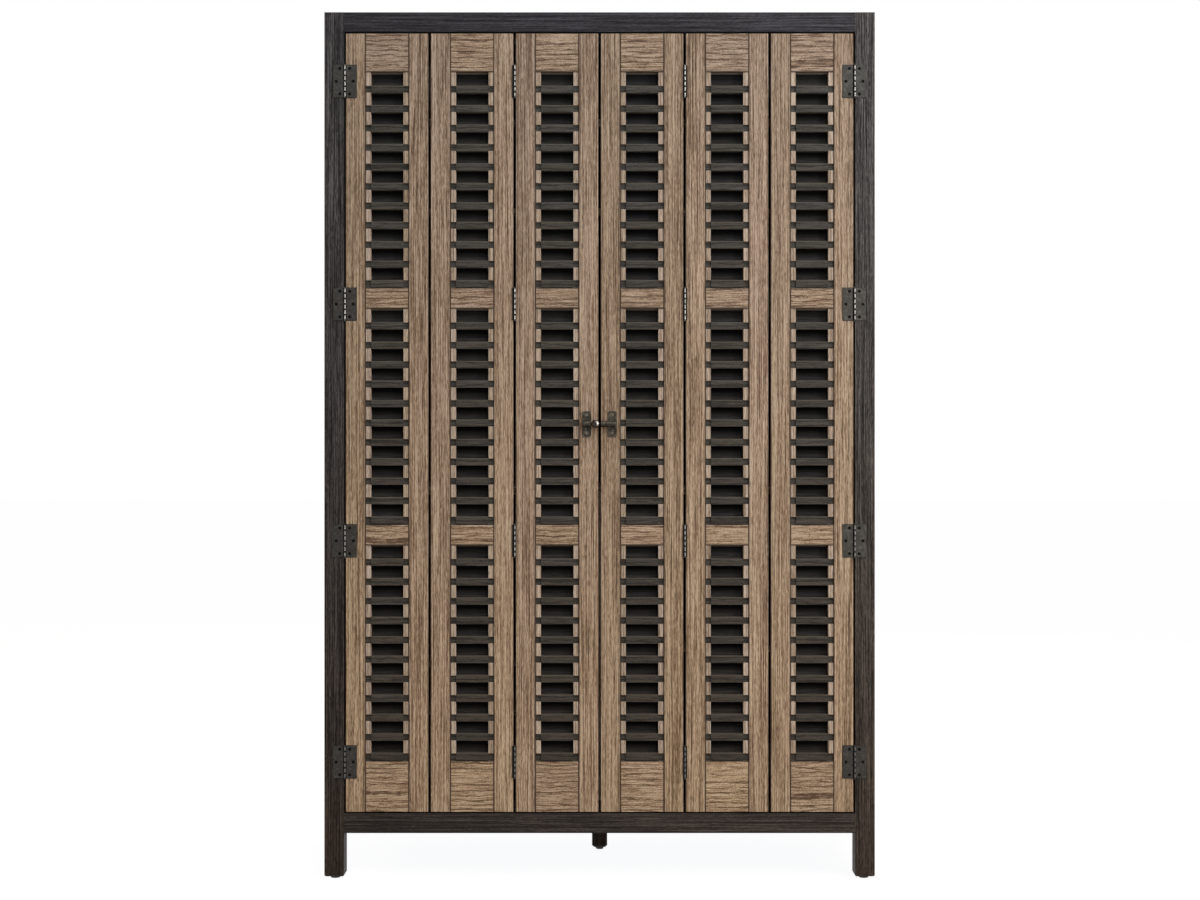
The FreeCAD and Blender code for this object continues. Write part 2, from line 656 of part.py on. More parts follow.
def side_rails():
    """The rails over and under both side panels."""
    rails = []
    y0, y1 = FRONT + POST, BACK - POST
    half = SIDE_PANEL / 2 + JOINT_FIT
    for z0 in rail_levels():
        rail = box(-HALF, -RAIL_INSIDE, y0, y1, z0, z0 + RAIL_HEIGHT)
        rail = rail.fuse(side_tenon(z0, y0 - CASE_TENON, y1 + CASE_TENON, 0)).removeSplitter()
        tongue = box(-RAIL_INSIDE - GROOVE, -RAIL_INSIDE, y0, y1, *tongue_groove_z(z0))
        panel = box(-PANEL_PLANE - half, -PANEL_PLANE + half, y0, y1, *panel_groove_z(z0))
        rails.append(cut_all(rail, [tongue, panel]))
    return both_sides(rails)


def chamfered_leg(x0, x1, y0, y1, z1, chamfer):
    """A square leg on a glide, with its bottom edges chamfered."""
    leg = box(x0, x1, y0, y1, GLIDE_HEIGHT, z1)
    edges = [e for e in leg.Edges if e.BoundBox.ZMax < GLIDE_HEIGHT + chamfer]
    return leg.makeChamfer(chamfer, edges)


def glide_places():
    """(x, y, radius) of the five glides: left posts, right posts, centre leg."""
    x, r = HALF - POST / 2, GLIDE_RADIUS
    front, back = FRONT + POST / 2, BACK - POST / 2
    corners = [(-x, front, r), (-x, back, r), (x, front, r), (x, back, r)]
    return corners + [(0.0, FRONT + CENTRE_LEG_SETBACK, CENTRE_GLIDE_RADIUS)]


def glide_socket(x, y):
    """The hole in a leg for a glide's stem."""
    foot = FreeCAD.Vector(x, y, GLIDE_HEIGHT)
    return Part.makeCylinder(GLIDE_STEM_RADIUS + STEM_FIT, GLIDE_STEM + STEM_FIT, foot, Z_AXIS)


def foot_glides():
    """Tapered glides, each with a stem up into its leg."""
    glides = []
    for x, y, radius in glide_places():
        sole = FreeCAD.Vector(x, y, 0)
        pad = Part.makeCone(radius - GLIDE_TAPER, radius, GLIDE_HEIGHT, sole, Z_AXIS)
        stem = Part.makeCylinder(GLIDE_STEM_RADIUS, GLIDE_HEIGHT + GLIDE_STEM, sole, Z_AXIS)
        glides.append(pad.fuse(stem).removeSplitter().Solids[0])
    return glides


def left_post(at_front, hinge_holes):
    """A left-hand corner post with mortises, panel grooves, glide socket and hinge holes."""
    y0 = FRONT if at_front else BACK - POST
    y1 = y0 + POST
    post = chamfered_leg(-HALF, -POST_INSIDE, y0, y1, HEIGHT, POST_CHAMFER)
    cuts = list(hinge_holes)
    half = SIDE_PANEL / 2 + JOINT_FIT
    groove = (y1 - GROOVE, y1) if at_front else (y0, y0 + GROOVE)
    cuts.append(box(-PANEL_PLANE - half, -PANEL_PLANE + half, *groove, FLOOR_TOP - GROOVE, HEAD + GROOVE))
    deep = CASE_TENON + JOINT_FIT
    for z0 in rail_levels():
        rail_y = (FRONT, FRONT + FRONT_RAIL) if at_front else (BACK - CASE_RAIL, BACK)
        cuts.append(cross_tenon(z0, *rail_y, POST_INSIDE + deep, JOINT_FIT))
        side_y = (y1 - deep, y1) if at_front else (y0, y0 + deep)
        cuts.append(side_tenon(z0, *side_y, JOINT_FIT))
    if not at_front:
        half = BACK_PANEL / 2 + JOINT_FIT
        cuts.append(box(-POST_INSIDE - GROOVE, -POST_INSIDE, BACK_PLANE - half, BACK_PLANE + half,
                        FLOOR_TOP - GROOVE, HEAD + GROOVE))
    cuts.append(glide_socket(-HALF + POST / 2, (y0 + y1) / 2))
    return cut_all(post, cuts)


def centre_leg():
    """The support leg under the floor, set back from the front."""
    y, half = FRONT + CENTRE_LEG_SETBACK, CENTRE_LEG / 2
    leg = chamfered_leg(-half, half, y - half, y + half, FLOOR_TOP - FLOOR_PANEL, CENTRE_LEG_CHAMFER)
    return cut_all(leg, [glide_socket(0, y)])


def post_room(clear, z0, z1):
    """Boxes around the four posts with a clearance, to notch a board at its corners."""
    rooms = []
    for y0, y1 in ((FRONT, FRONT + POST), (BACK - POST, BACK)):
        rooms.append(box(-HALF, -POST_INSIDE + clear, y0 - clear, y1 + clear, z0, z1))
    return both_sides(rooms)


def tongued_panel(z0, thick):
    """A floor or top panel: a board between the rails with a tongue all round, notched at the posts."""
    x, y0, y1 = RAIL_INSIDE - JOINT_FIT, FRONT + FRONT_RAIL + JOINT_FIT, BACK - CASE_RAIL - JOINT_FIT
    reach = GROOVE
    board = box(-x, x, y0, y1, z0, z0 + thick)
    tongue = box(-x - reach, x + reach, y0 - reach, y1 + reach, z0, z0 + TONGUE)
    return cut_all(board.fuse(tongue), post_room(JOINT_FIT, z0, z0 + thick))


def side_panels():
    """The panels between the posts, seated in the lower rail's groove."""
    half, reach = SIDE_PANEL / 2, GROOVE - JOINT_FIT
    panel = box(-PANEL_PLANE - half, -PANEL_PLANE + half, FRONT + POST - reach, BACK - POST + reach,
                FLOOR_TOP - GROOVE, HEAD + reach)
    pins = [p for p in shelf_pin_places() if p[0] < -PARTITION]
    right_pins = [(-x, y, z, -d) for x, y, z, d in shelf_pin_places() if x > PARTITION]
    left = cut_all(panel, [shelf_pin(*p, SHELF_PIN_FIT) for p in pins])
    right = cut_all(panel, [shelf_pin(*p, SHELF_PIN_FIT) for p in right_pins])
    return [left] + mirrored([right])


def back_panel():
    """The panel between the rear posts, seated in the lower rail's groove."""
    half, reach = BACK_PANEL / 2, GROOVE - JOINT_FIT
    return box(-POST_INSIDE - reach, POST_INSIDE + reach, BACK_PLANE - half, BACK_PLANE + half,
               FLOOR_TOP - GROOVE, HEAD + reach)


def door_stops():
    """Strips behind the top and the bottom of the doors."""
    y1 = STOP_FRONT + STOP_THICK
    x = POST_INSIDE - JOINT_FIT
    top = box(-x, x, STOP_FRONT, y1, HEAD - STOP_LAP, HEIGHT - TOP_PANEL - STOP_TOP_ROOM)
    bottom = box(-x, x, STOP_FRONT, y1, FLOOR_TOP, FLOOR_TOP + STOP_LAP)
    return [top, bottom]


# Inside

def full_shelf(top, thick):
    """A board the full width of the case, notched round the posts."""
    board = box(-SHELF_END, SHELF_END, SHELF_FRONT, SHELF_BACK, top - thick, top)
    return cut_all(board, post_room(SHELF_CLEAR, top - thick, top))


def partition():
    """The upright board between the floor and the counter."""
    board = box(-PARTITION / 2, PARTITION / 2, SHELF_FRONT, SHELF_BACK, FLOOR_TOP, COUNTER_TOP - COUNTER)
    pins = [p for p in shelf_pin_places() if abs(p[0]) <= PARTITION]
    return cut_all(board, [shelf_pin(*p, SHELF_PIN_FIT) for p in pins])


def adjustable_shelves():
    """A full-width shelf high up and a half-width one low on the right."""
    low = full_shelf(LOW_SHELF_TOP, SHELF)
    left_half = box(-HALF, PARTITION / 2 + SHELF_CLEAR, FRONT, BACK, LOW_SHELF_TOP - SHELF, LOW_SHELF_TOP)
    return [full_shelf(HIGH_SHELF_TOP, SHELF), cut_all(low, [left_half])]


def shelf_pin_places():
    """(x, y, z, direction) of each shelf pin: the face it stands on and which way it points."""
    depths = (FRONT + POST + SHELF_PIN_INSET, BACK - POST - SHELF_PIN_INSET)
    high, low = (top - SHELF - SHELF_PIN_RADIUS for top in (HIGH_SHELF_TOP, LOW_SHELF_TOP))
    places = [(-PANEL_INSIDE, high, 1), (PANEL_INSIDE, high, -1),
              (PANEL_INSIDE, low, -1), (PARTITION / 2, low, 1)]
    return [(x, y, z, d) for x, z, d in places for y in depths]


def shelf_pin(x, y, z, direction, fit):
    """A pin that stands out of a face, let into it but not through; with a fit, its hole."""
    deep = SIDE_PANEL - SHELF_PIN_WALL + fit
    start = FreeCAD.Vector(x - direction * deep, y, z)
    return Part.makeCylinder(SHELF_PIN_RADIUS + fit, deep + SHELF_PIN_LENGTH, start, X_AXIS * direction)


def shelf_cleats():
    """Cleats on the side panels under the counter and the upper shelf."""
    y0, y1 = FRONT + POST + CLEAT_END_ROOM, BACK - POST - CLEAT_END_ROOM
    cleats = []
    for top in (COUNTER_TOP - COUNTER, UPPER_SHELF_TOP - SHELF):
        cleats.append(box(-PANEL_INSIDE, -PANEL_INSIDE + CLEAT_WIDTH, y0, y1, top - CLEAT_HEIGHT, top))
    return both_sides(cleats)


def bottle_rack():
    """An egg-crate rack on the floor: end boards, uprights and shelves half-lapped, and a top."""
    x0, x1 = -POST_INSIDE + RACK_SIDE_ROOM, -PARTITION / 2 - RACK_SIDE_ROOM
    y0, y1 = SHELF_FRONT + RACK_SETBACK, SHELF_BACK - RACK_BACK_ROOM
    lap = (y0 + y1) / 2
    rise = RACK_ROW_HEIGHT + RACK_BOARD
    top = FLOOR_TOP + RACK_ROWS * rise - RACK_BOARD
    step = (x1 - x0 - RACK_BOARD) / RACK_COLUMNS
    uprights = [x0 + k * step for k in range(1, RACK_COLUMNS)]
    levels = [FLOOR_TOP + k * rise - RACK_BOARD for k in range(1, RACK_ROWS)]

    boards = [box(x, x + RACK_BOARD, y0, y1, FLOOR_TOP, top) for x in (x0, x1 - RACK_BOARD)]
    for x in uprights:
        slots = [box(x, x + RACK_BOARD, y0, lap, z - RACK_FIT, z + RACK_BOARD + RACK_FIT) for z in levels]
        boards.append(cut_all(box(x, x + RACK_BOARD, y0, y1, FLOOR_TOP, top), slots))
    for z in levels:
        slots = [box(x - RACK_FIT, x + RACK_BOARD + RACK_FIT, lap, y1, z, z + RACK_BOARD) for x in uprights]
        shelf = box(x0 + RACK_BOARD, x1 - RACK_BOARD, y0, y1, z, z + RACK_BOARD)
        boards.append(cut_all(shelf, slots))
    boards.append(box(x0, x1, y0, y1, top, top + RACK_BOARD))
    return boards


def stemware_rack():
    """T-shaped runners under the upper shelf, a spacer and a flange each."""
    y0, y1 = SHELF_FRONT + STEM_SETBACK, SHELF_BACK - STEM_BACK_ROOM
    under = UPPER_SHELF_TOP - SHELF
    low = under - STEM_SPACER_HEIGHT
    pieces = []
    for k in range(STEM_RAILS):
        x = (k - (STEM_RAILS - 1) / 2) * STEM_PITCH
        half = STEM_SPACER_WIDTH / 2
        pieces.append(box(x - half, x + half, y0, y1, low, under))
        half = STEM_FLANGE_WIDTH / 2
        pieces.append(box(x - half, x + half, y0, y1, low - STEM_FLANGE_HEIGHT, low))
    return pieces


def case_nodes(post_wing):
    """Nodes of the case, its feet and the hinge parts that stay with the posts."""
    heights = hinge_heights()
    holes = [h for z in heights for h in post_wing.holes(z)]
    return {
        "corner_posts": both_sides([left_post(True, holes), left_post(False, [])]),
        "front_rails": front_rails(),
        "side_and_back_rails": side_rails() + back_rails(),
        "side_panels": side_panels(),
        "back_panel": [back_panel()],
        "top_panel": [tongued_panel(HEIGHT - TOP_PANEL, TOP_PANEL)],
        "floor_panel": [tongued_panel(FLOOR_TOP - FLOOR_PANEL, FLOOR_PANEL)],
        "centre_leg": [centre_leg()],
        "foot_glides": foot_glides(),
        "door_stops": door_stops(),
        "post_hinge_plates": both_sides([post_wing.plate(z) for z in heights]),
        "post_hinge_pins": both_sides([hinge_pin(post_wing, z) for z in heights]),
        "post_hinge_screws": both_sides([s for z in heights for s in post_wing.screw_set(z)]),
    }


def inside_nodes():
    """Nodes of the bar fittings inside the case."""
    return {
        "counter_shelf": [full_shelf(COUNTER_TOP, COUNTER)],
        "upper_shelf": [full_shelf(UPPER_SHELF_TOP, SHELF)],
        "partition": [partition()],
        "adjustable_shelves": adjustable_shelves(),
        "shelf_pins": [shelf_pin(*p, 0) for p in shelf_pin_places()],
        "shelf_cleats": shelf_cleats(),
        "bottle_rack": bottle_rack(),
        "stemware_rack": stemware_rack(),
    }


def main():
    """Builds every node and writes one file for each."""
    wings = left_wings()
    nodes = {**case_nodes(wings["post"]), **inside_nodes(), **latch_parts()}
    for name, solids in left_leaves(wings).items():
        nodes["left_" + name] = solids
        nodes["right_" + name] = mirrored(solids)
    os.makedirs("parts", exist_ok=True)
    for name, solids in nodes.items():
        Part.makeCompound(solids).exportStep(f"parts/{name}.step")
    print(len(nodes), "nodes,", sum(len(s) for s in nodes.values()), "solids")


if __name__ == "__main__":
    main()
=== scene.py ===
"""Looks of a bar armoire: a charred oak case closed by two sets of three folding louvred leaves.

Metres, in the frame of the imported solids: +Z is up, the doors face -Y and the origin is on the floor.
"""

import logging
import math
from dataclasses import dataclass, field, replace
from enum import Enum
from typing import Any, Callable, Dict, List, Sequence, Tuple, Union

import bpy
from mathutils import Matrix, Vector


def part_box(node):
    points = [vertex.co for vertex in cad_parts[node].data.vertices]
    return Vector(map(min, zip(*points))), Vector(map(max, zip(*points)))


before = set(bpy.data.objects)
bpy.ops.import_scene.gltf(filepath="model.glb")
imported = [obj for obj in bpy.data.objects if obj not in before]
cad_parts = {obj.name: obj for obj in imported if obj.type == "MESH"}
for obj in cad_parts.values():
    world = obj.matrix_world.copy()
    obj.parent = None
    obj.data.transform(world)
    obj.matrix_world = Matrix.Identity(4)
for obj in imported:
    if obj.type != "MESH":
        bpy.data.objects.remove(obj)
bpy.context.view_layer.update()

LOG = logging.getLogger("armoire")

Colour = Tuple[float, float, float, float]
Tint = Tuple[float, float, float]
Span = Tuple[float, float]
Key = Union[int, str]
Value = Union[float, "Signal"]
Owner = Union[bpy.types.Material, bpy.types.World]

X, Y, Z = range(3)
HALF = 0.5
# Noise and chances run from zero to one about this mean.
MEAN = 0.5
# The third place of the chances, so that leaves, louvres and plain boards draw apart from each other.
LEAF_SEED, LOUVRE_SEED, BOARD_SEED = 1.0, 2.0, 4.0
# A leaf's stiles are its pieces zero and one, and its rails are numbered from here.
FIRST_RAIL = 3.0
WHITE: Colour = (1.0, 1.0, 1.0, 1.0)


def srgb(red: int, green: int, blue: int) -> Colour:
    """Turns a colour as a screen shows it into the renderer's linear values.

    Args:
        red: Red, from 0 to 255.
        green: Green, from 0 to 255.
        blue: Blue, from 0 to 255.

    Returns:
        The linear colour with a full alpha.
    """
    def linear(channel: int) -> float:
        """One channel's linear value."""
        share = channel / 255
        return share / 12.92 if share <= 0.04045 else ((share + 0.055) / 1.055) ** 2.4

    return linear(red), linear(green), linear(blue), 1.0


class Signal:
    """One output socket of a node tree; Python's operators on it add Math nodes."""

    def __init__(self, recipe: "Recipe", socket: bpy.types.NodeSocket) -> None:
        """Keeps the socket and the recipe that it belongs to."""
        self.recipe = recipe
        self.socket = socket

    def __add__(self, other: Value) -> "Signal":
        """Sum."""
        return self.recipe.math("ADD", self, other)

    def __radd__(self, other: Value) -> "Signal":
        """Sum with a number on the left."""
        return self.recipe.math("ADD", other, self)

    def __sub__(self, other: Value) -> "Signal":
        """Difference."""
        return self.recipe.math("SUBTRACT", self, other)

    def __rsub__(self, other: Value) -> "Signal":
        """Difference with a number on the left."""
        return self.recipe.math("SUBTRACT", other, self)

    def __mul__(self, other: Value) -> "Signal":
        """Product."""
        return self.recipe.math("MULTIPLY", self, other)

    def __truediv__(self, other: Value) -> "Signal":
        """Quotient."""
        return self.recipe.math("DIVIDE", self, other)

    def __abs__(self) -> "Signal":
        """Size without the sign."""
        return self.recipe.math("ABSOLUTE", self)

    def floor(self) -> "Signal":
        """Whole number at or below."""
        return self.recipe.math("FLOOR", self)

    def fraction(self) -> "Signal":
        """What is over the whole number."""
        return self.recipe.math("FRACT", self)

    def root(self) -> "Signal":
        """Square root."""
        return self.recipe.math("SQRT", self)

    def above(self, limit: Value) -> "Signal":
        """One where the signal is over a limit, zero elsewhere."""
        return self.recipe.math("GREATER_THAN", self, limit)

    def ease(self, low: float, high: float) -> "Signal":
        """Smooth step from zero at low to one at high."""
        settings = {"interpolation_type": "SMOOTHSTEP"}
        return self.recipe.node("ShaderNodeMapRange", settings, {0: self, 1: low, 2: high})


class Recipe:
    """The node tree of a material or of the world, built by calls that return signals."""

    def __init__(self, owner: Owner) -> None:
        """Empties the owner's node tree.

        Args:
            owner: The material or world to build.
        """
        owner.use_nodes = True
        self.owner = owner
        self.tree = owner.node_tree
        self.tree.nodes.clear()

    def node(self, kind: str, settings: Dict[str, Any], inputs: Dict[Key, Any],
             output: Key = 0) -> Signal:
        """Adds a node of any type.

        Args:
            kind: The node's type.
            settings: Its own properties, set first; "stops" are a colour ramp's.
            inputs: Values or signals for its sockets, by name or number.
            output: The socket that the returned signal stands for.

        Returns:
            The chosen output.
        """
        made = self.tree.nodes.new(kind)
        for name, value in settings.items():
            if name == "stops":
                self.set_stops(made.color_ramp, value)
            else:
                setattr(made, name, value)
        for key, value in inputs.items():
            if isinstance(value, Signal):
                self.tree.links.new(value.socket, made.inputs[key])
            else:
                made.inputs[key].default_value = value
        return Signal(self, made.outputs[output])

    @staticmethod
    def set_stops(ramp: bpy.types.ColorRamp, stops: Sequence[Tuple[float, Colour]]) -> None:
        """Gives a ramp its stops.

        Args:
            ramp: The ramp to fill.
            stops: Position and colour of each stop, from left to right.
        """
        while len(ramp.elements) < len(stops):
            ramp.elements.new(1.0)
        for element, (position, colour) in zip(ramp.elements, stops):
            element.position = position
            element.color = colour

    def math(self, operation: str, *terms: Value) -> Signal:
        """Adds a Math node."""
        return self.node("ShaderNodeMath", {"operation": operation}, dict(enumerate(terms)))

    def blend(self, share: Value, start: Value, end: Value) -> Signal:
        """Mixes two numbers, which the node takes at its sockets 2 and 3."""
        return self.node("ShaderNodeMix", {"data_type": "FLOAT"}, {0: share, 2: start, 3: end})

    def tint(self, share: Value, start: Any, end: Any, mode: str = "MIX") -> Signal:
        """Mixes two colours, which the node takes at its sockets 6 and 7."""
        settings = {"data_type": "RGBA", "blend_type": mode, "clamp_factor": True}
        return self.node("ShaderNodeMix", settings, {0: share, 6: start, 7: end}, 2)

    def vector(self, x: Value, y: Value, z: Value) -> Signal:
        """Joins three numbers into a vector."""
        return self.node("ShaderNodeCombineXYZ", {}, {0: x, 1: y, 2: z})

    def split(self, vector: Signal) -> Tuple[Signal, Signal, Signal]:
        """Parts a vector or colour into its three numbers."""
        outputs = self.node("ShaderNodeSeparateXYZ", {}, {0: vector}).socket.node.outputs
        return Signal(self, outputs[0]), Signal(self, outputs[1]), Signal(self, outputs[2])

    def point(self) -> Signal:
        """The point on the part at rest, in metres."""
        return self.node("ShaderNodeTexCoord", {}, {}, "Object")

    def place(self) -> Tuple[Signal, Signal, Signal]:
        """The point on the part at rest, as three numbers."""
        return self.split(self.point())

    def facing(self) -> Tuple[Signal, Signal, Signal]:
        """The way the part's surface faces at rest, as three numbers."""
        return self.split(self.node("ShaderNodeTexCoord", {}, {}, "Normal"))

    def chance(self, x: Value, y: Value, z: Value) -> Tuple[Signal, Signal, Signal]:
        """Three random numbers from zero to one that belong to a whole-number place."""
        inputs = {"Vector": self.vector(x, y, z)}
        return self.split(self.node("ShaderNodeTexWhiteNoise", {"noise_dimensions": "3D"}, inputs, "Color"))

    def noise(self, vector: Signal, scale: float, detail: float = 2.0, rough: float = 0.5) -> Signal:
        """Smooth noise from zero to one."""
        inputs = {"Vector": vector, "Scale": scale, "Detail": detail, "Roughness": rough}
        return self.node("ShaderNodeTexNoise", {"noise_dimensions": "3D"}, inputs, "Fac")

    def bump(self, height: Signal, depth: float, strength: float) -> Signal:
        """A normal that rises and falls with a height."""
        inputs = {"Strength": strength, "Distance": depth, "Height": height}
        return self.node("ShaderNodeBump", {}, inputs, "Normal")

    def surface(self, sockets: Dict[Key, Any]) -> bpy.types.Material:
        """Ends the recipe with a shader that has these values in its sockets."""
        return self.end(self.node("ShaderNodeBsdfPrincipled", {}, sockets))

    def end(self, shader: Signal, kind: str = "ShaderNodeOutputMaterial") -> Owner:
        """Joins a shader to the output of the tree.

        Args:
            shader: The shader to show.
            kind: The type of the output node.

        Returns:
            The material or world that is now finished.
        """
        made = self.tree.nodes.new(kind)
        self.tree.links.new(shader.socket, made.inputs["Surface"])
        return self.owner


def material_recipe(name: str) -> Recipe:
    """A recipe for a new material of that name."""
    return Recipe(bpy.data.materials.new(name))


@dataclass(frozen=True)
class DoorPlan:
    """Where the leaves and their boards lie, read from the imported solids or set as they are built.

    Front, back and high are the leaves' faces and upper ends, and pitch lies from one leaf to the next.
    The first rail is measured at its middle, rail_step numbers the rails from zero at the bottom, and
    panel_floor is the foot of the lowest louvred panel. The boards behind the slats lie board_depth
    behind the front faces. A slat stands slat_nose high at the front, and the lowest one slat_foot over
    its panel's foot.
    """

    front: float
    back: float
    pitch: float
    half_leaf: float
    half_panel: float
    high: float
    first_rail: float
    rail_pitch: float
    panel_floor: float
    panel_pitch: float
    rails: int = 4
    rail_step: float = 0.55
    panels: int = 3
    panel_high: float = 0.508667
    board_depth: float = 0.0188
    slats: int = 11
    slat_pitch: float = 0.045579
    slat_nose: float = 0.017
    slat_foot: float = 0.0033

    @classmethod
    def from_frame(cls) -> "DoorPlan":
        """Reads the plan from the right leaves' solids.

        Returns:
            The plan.
        """
        low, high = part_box("right_inner_frame")
        next_low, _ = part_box("right_middle_frame")
        strip_low, strip_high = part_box("right_inner_slat_strips")
        centre = (low.x + high.x) / 2
        first = (low.z + strip_low.z) / 2
        last = (high.z + strip_high.z) / 2
        last_floor = strip_high.z - cls.panel_high
        return cls(front=low.y, back=high.y, pitch=next_low.x - low.x, half_leaf=(high.x - low.x) / 2,
                   half_panel=centre - strip_low.x, high=high.z,
                   first_rail=first, rail_pitch=(last - first) / (cls.rails - 1),
                   panel_floor=strip_low.z, panel_pitch=(last_floor - strip_low.z) / (cls.panels - 1))

    def leaf(self, x: Signal) -> Tuple[Signal, Signal]:
        """The number of the leaf that a point lies in, and the point's place from the leaf's middle."""
        number = (x / self.pitch).floor()
        return number, x - (number + HALF) * self.pitch

    def panel(self, z: Signal) -> Signal:
        """The number of the louvred panel at a height, from zero at the bottom."""
        return ((z - self.panel_floor) / self.panel_pitch).floor()

    def middle_leaf_edge(self) -> float:
        """How far the middle leaves' edges beside the inner leaves lie from the doors' meeting line."""
        return self.pitch * (1 + HALF) - self.half_leaf


@dataclass(frozen=True)
class HingePlan:
    """Where the hinges lie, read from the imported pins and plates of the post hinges.

    Feet are the lower ends of the rows of hinges, knuckle is a knuckle's height, and plate_end is where the
    plates on the outer leaves end, from the middle of the armoire. The corners of a pin with its two heads
    lie at as many levels as levels_per_pin says, when they are rounded to level_digits.
    """

    feet: Tuple[float, ...]
    knuckle: float
    plate_end: float
    knuckles: int = 6
    levels_per_pin: int = 4
    level_digits: int = 5

    @classmethod
    def from_frame(cls) -> "HingePlan":
        """Reads the plan: a pin's second and third level are the ends of its knuckles.

        Returns:
            The plan.
        """
        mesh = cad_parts["post_hinge_pins"].data
        levels = sorted({round(vertex.co.z, cls.level_digits) for vertex in mesh.vertices})
        low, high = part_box("post_hinge_pins")
        axis = high.x - (high.y - low.y) / 2
        return cls(feet=tuple(levels[1::cls.levels_per_pin]),
                   knuckle=(levels[2] - levels[1]) / cls.knuckles,
                   plate_end=2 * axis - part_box("post_hinge_plates")[1].x)

    def over_foot(self, z: Signal) -> Signal:
        """Measures a height from the foot of a hinge.

        Args:
            z: The height.

        Returns:
            How high it lies over the foot of the hinge next to it.
        """
        foot: Value = self.feet[0]
        for lower, upper in zip(self.feet, self.feet[1:]):
            foot = foot + z.above((lower + upper) / 2) * (upper - lower)
        return z - foot

    def phase(self, z: Signal) -> Signal:
        """How far up its own knuckle a point lies, from zero to one."""
        return (self.over_foot(z) / self.knuckle).fraction()

    def beside(self, z: Signal, rim: float = 0.0) -> Signal:
        """One at the height of a hinge, and as far as a rim above and below it."""
        rise = self.over_foot(z)
        return rise.above(-rim) * (1.0 - rise.above(self.knuckle * self.knuckles + rim))


DOORS = DoorPlan.from_frame()
HINGES = HingePlan.from_frame()


class Run(Enum):
    """How the boards of a node lie: axes along, across and into the board, and the boards' spacing."""

    POST = (Z, X, Y, 0.622)
    SIDE_PANEL = (Z, Y, X, 0.14)
    BACK_PANEL = (Z, X, Y, 0.16)
    RAIL = (X, Z, Y, 0.313)
    SHELF = (X, Y, Z, 0.13)
    BEARER = (Y, Z, X, 0.116)
    CASE_RAILS = (X, Z, Y, 0.314)
    STRIP = (Z, X, Y, 0.0498)
    LEAF = (Z, X, Y, DOORS.pitch)
    LOUVRE = (X, Z, Y, DOORS.slat_pitch)


@dataclass
class Board:
    """A point in a board's own frame, with the chances that make the board unlike its neighbours.

    Upright is one where the board is drawn as a stile and zero where it is drawn as a rail. The last two
    fields say how far the point is darkened as painted shade and how far it is lightened by painted light.
    """

    along: Signal
    across: Signal
    deep: Signal
    luck: Tuple[Signal, Signal, Signal]
    upright: Value
    painted_shade: Value = 0.0
    wear_and_highlight: Value = 0.0


@dataclass(frozen=True)
class Streak:
    """Noise drawn out along the grain, its marks' length and width in metres.

    Detail is how finely they are broken up, weight how much they change the wood's tone and lift how much
    they raise its surface.
    """

    length: float
    width: float
    detail: float = 2.0
    weight: float = 1.0
    lift: float = 0.0


@dataclass(frozen=True)
class Grain:
    """How a timber's figure is drawn, in metres and shares.

    Growth rings turn about a heart beside the board. Sway and wobble bend them and gaps break their dark
    lines. Broad, band, fine and tick change the tone, hair draws thin dark lines and pore the open pores.
    Values whose names start with rail are for boards that are drawn as rails.
    """

    sway: Streak = Streak(0.22, 0.03, detail=3.0)
    wobble: Streak = Streak(0.06, 0.008)
    gaps: Streak = Streak(0.10, 0.008)
    broad: Streak = Streak(0.60, 0.030, weight=0.4)
    band: Streak = Streak(0.50, 0.0030, weight=0.4, lift=0.3)
    fine: Streak = Streak(0.25, 0.0014, weight=1.9, lift=0.3)
    tick: Streak = Streak(0.012, 0.0013, detail=1.0)
    pore: Streak = Streak(0.020, 0.0012, detail=1.0, lift=-0.6)
    hair: Streak = Streak(0.40, 0.0055, weight=0.3)
    gap_edges: Span = (0.35, 0.65)
    pore_edges: Span = (0.56, 0.70)
    hair_reach: float = 0.05
    ring: float = 0.0078
    heart: float = 0.035
    heart_spread: float = 0.09
    rail_heart: float = 0.25
    lean: float = 0.02
    wander: float = 0.012
    rail_wander: float = 1.2
    jitter: float = 0.004
    rail_jitter: float = 0.0016
    line_rise: Span = (0.50, 0.92)
    line_end: Span = (0.94, 1.0)
    line_level: float = 0.06
    line_lift: float = -0.45
    line_weight: float = 0.2
    rail_line_weight: float = 0.65
    rail_unbroken: float = 0.5
    contrast: float = 1.4
    rail_contrast: float = 1.2
    rail_stretch: float = 0.22
    rail_width: float = 1.3
    slide: float = 7.0
    shift: float = 3.0


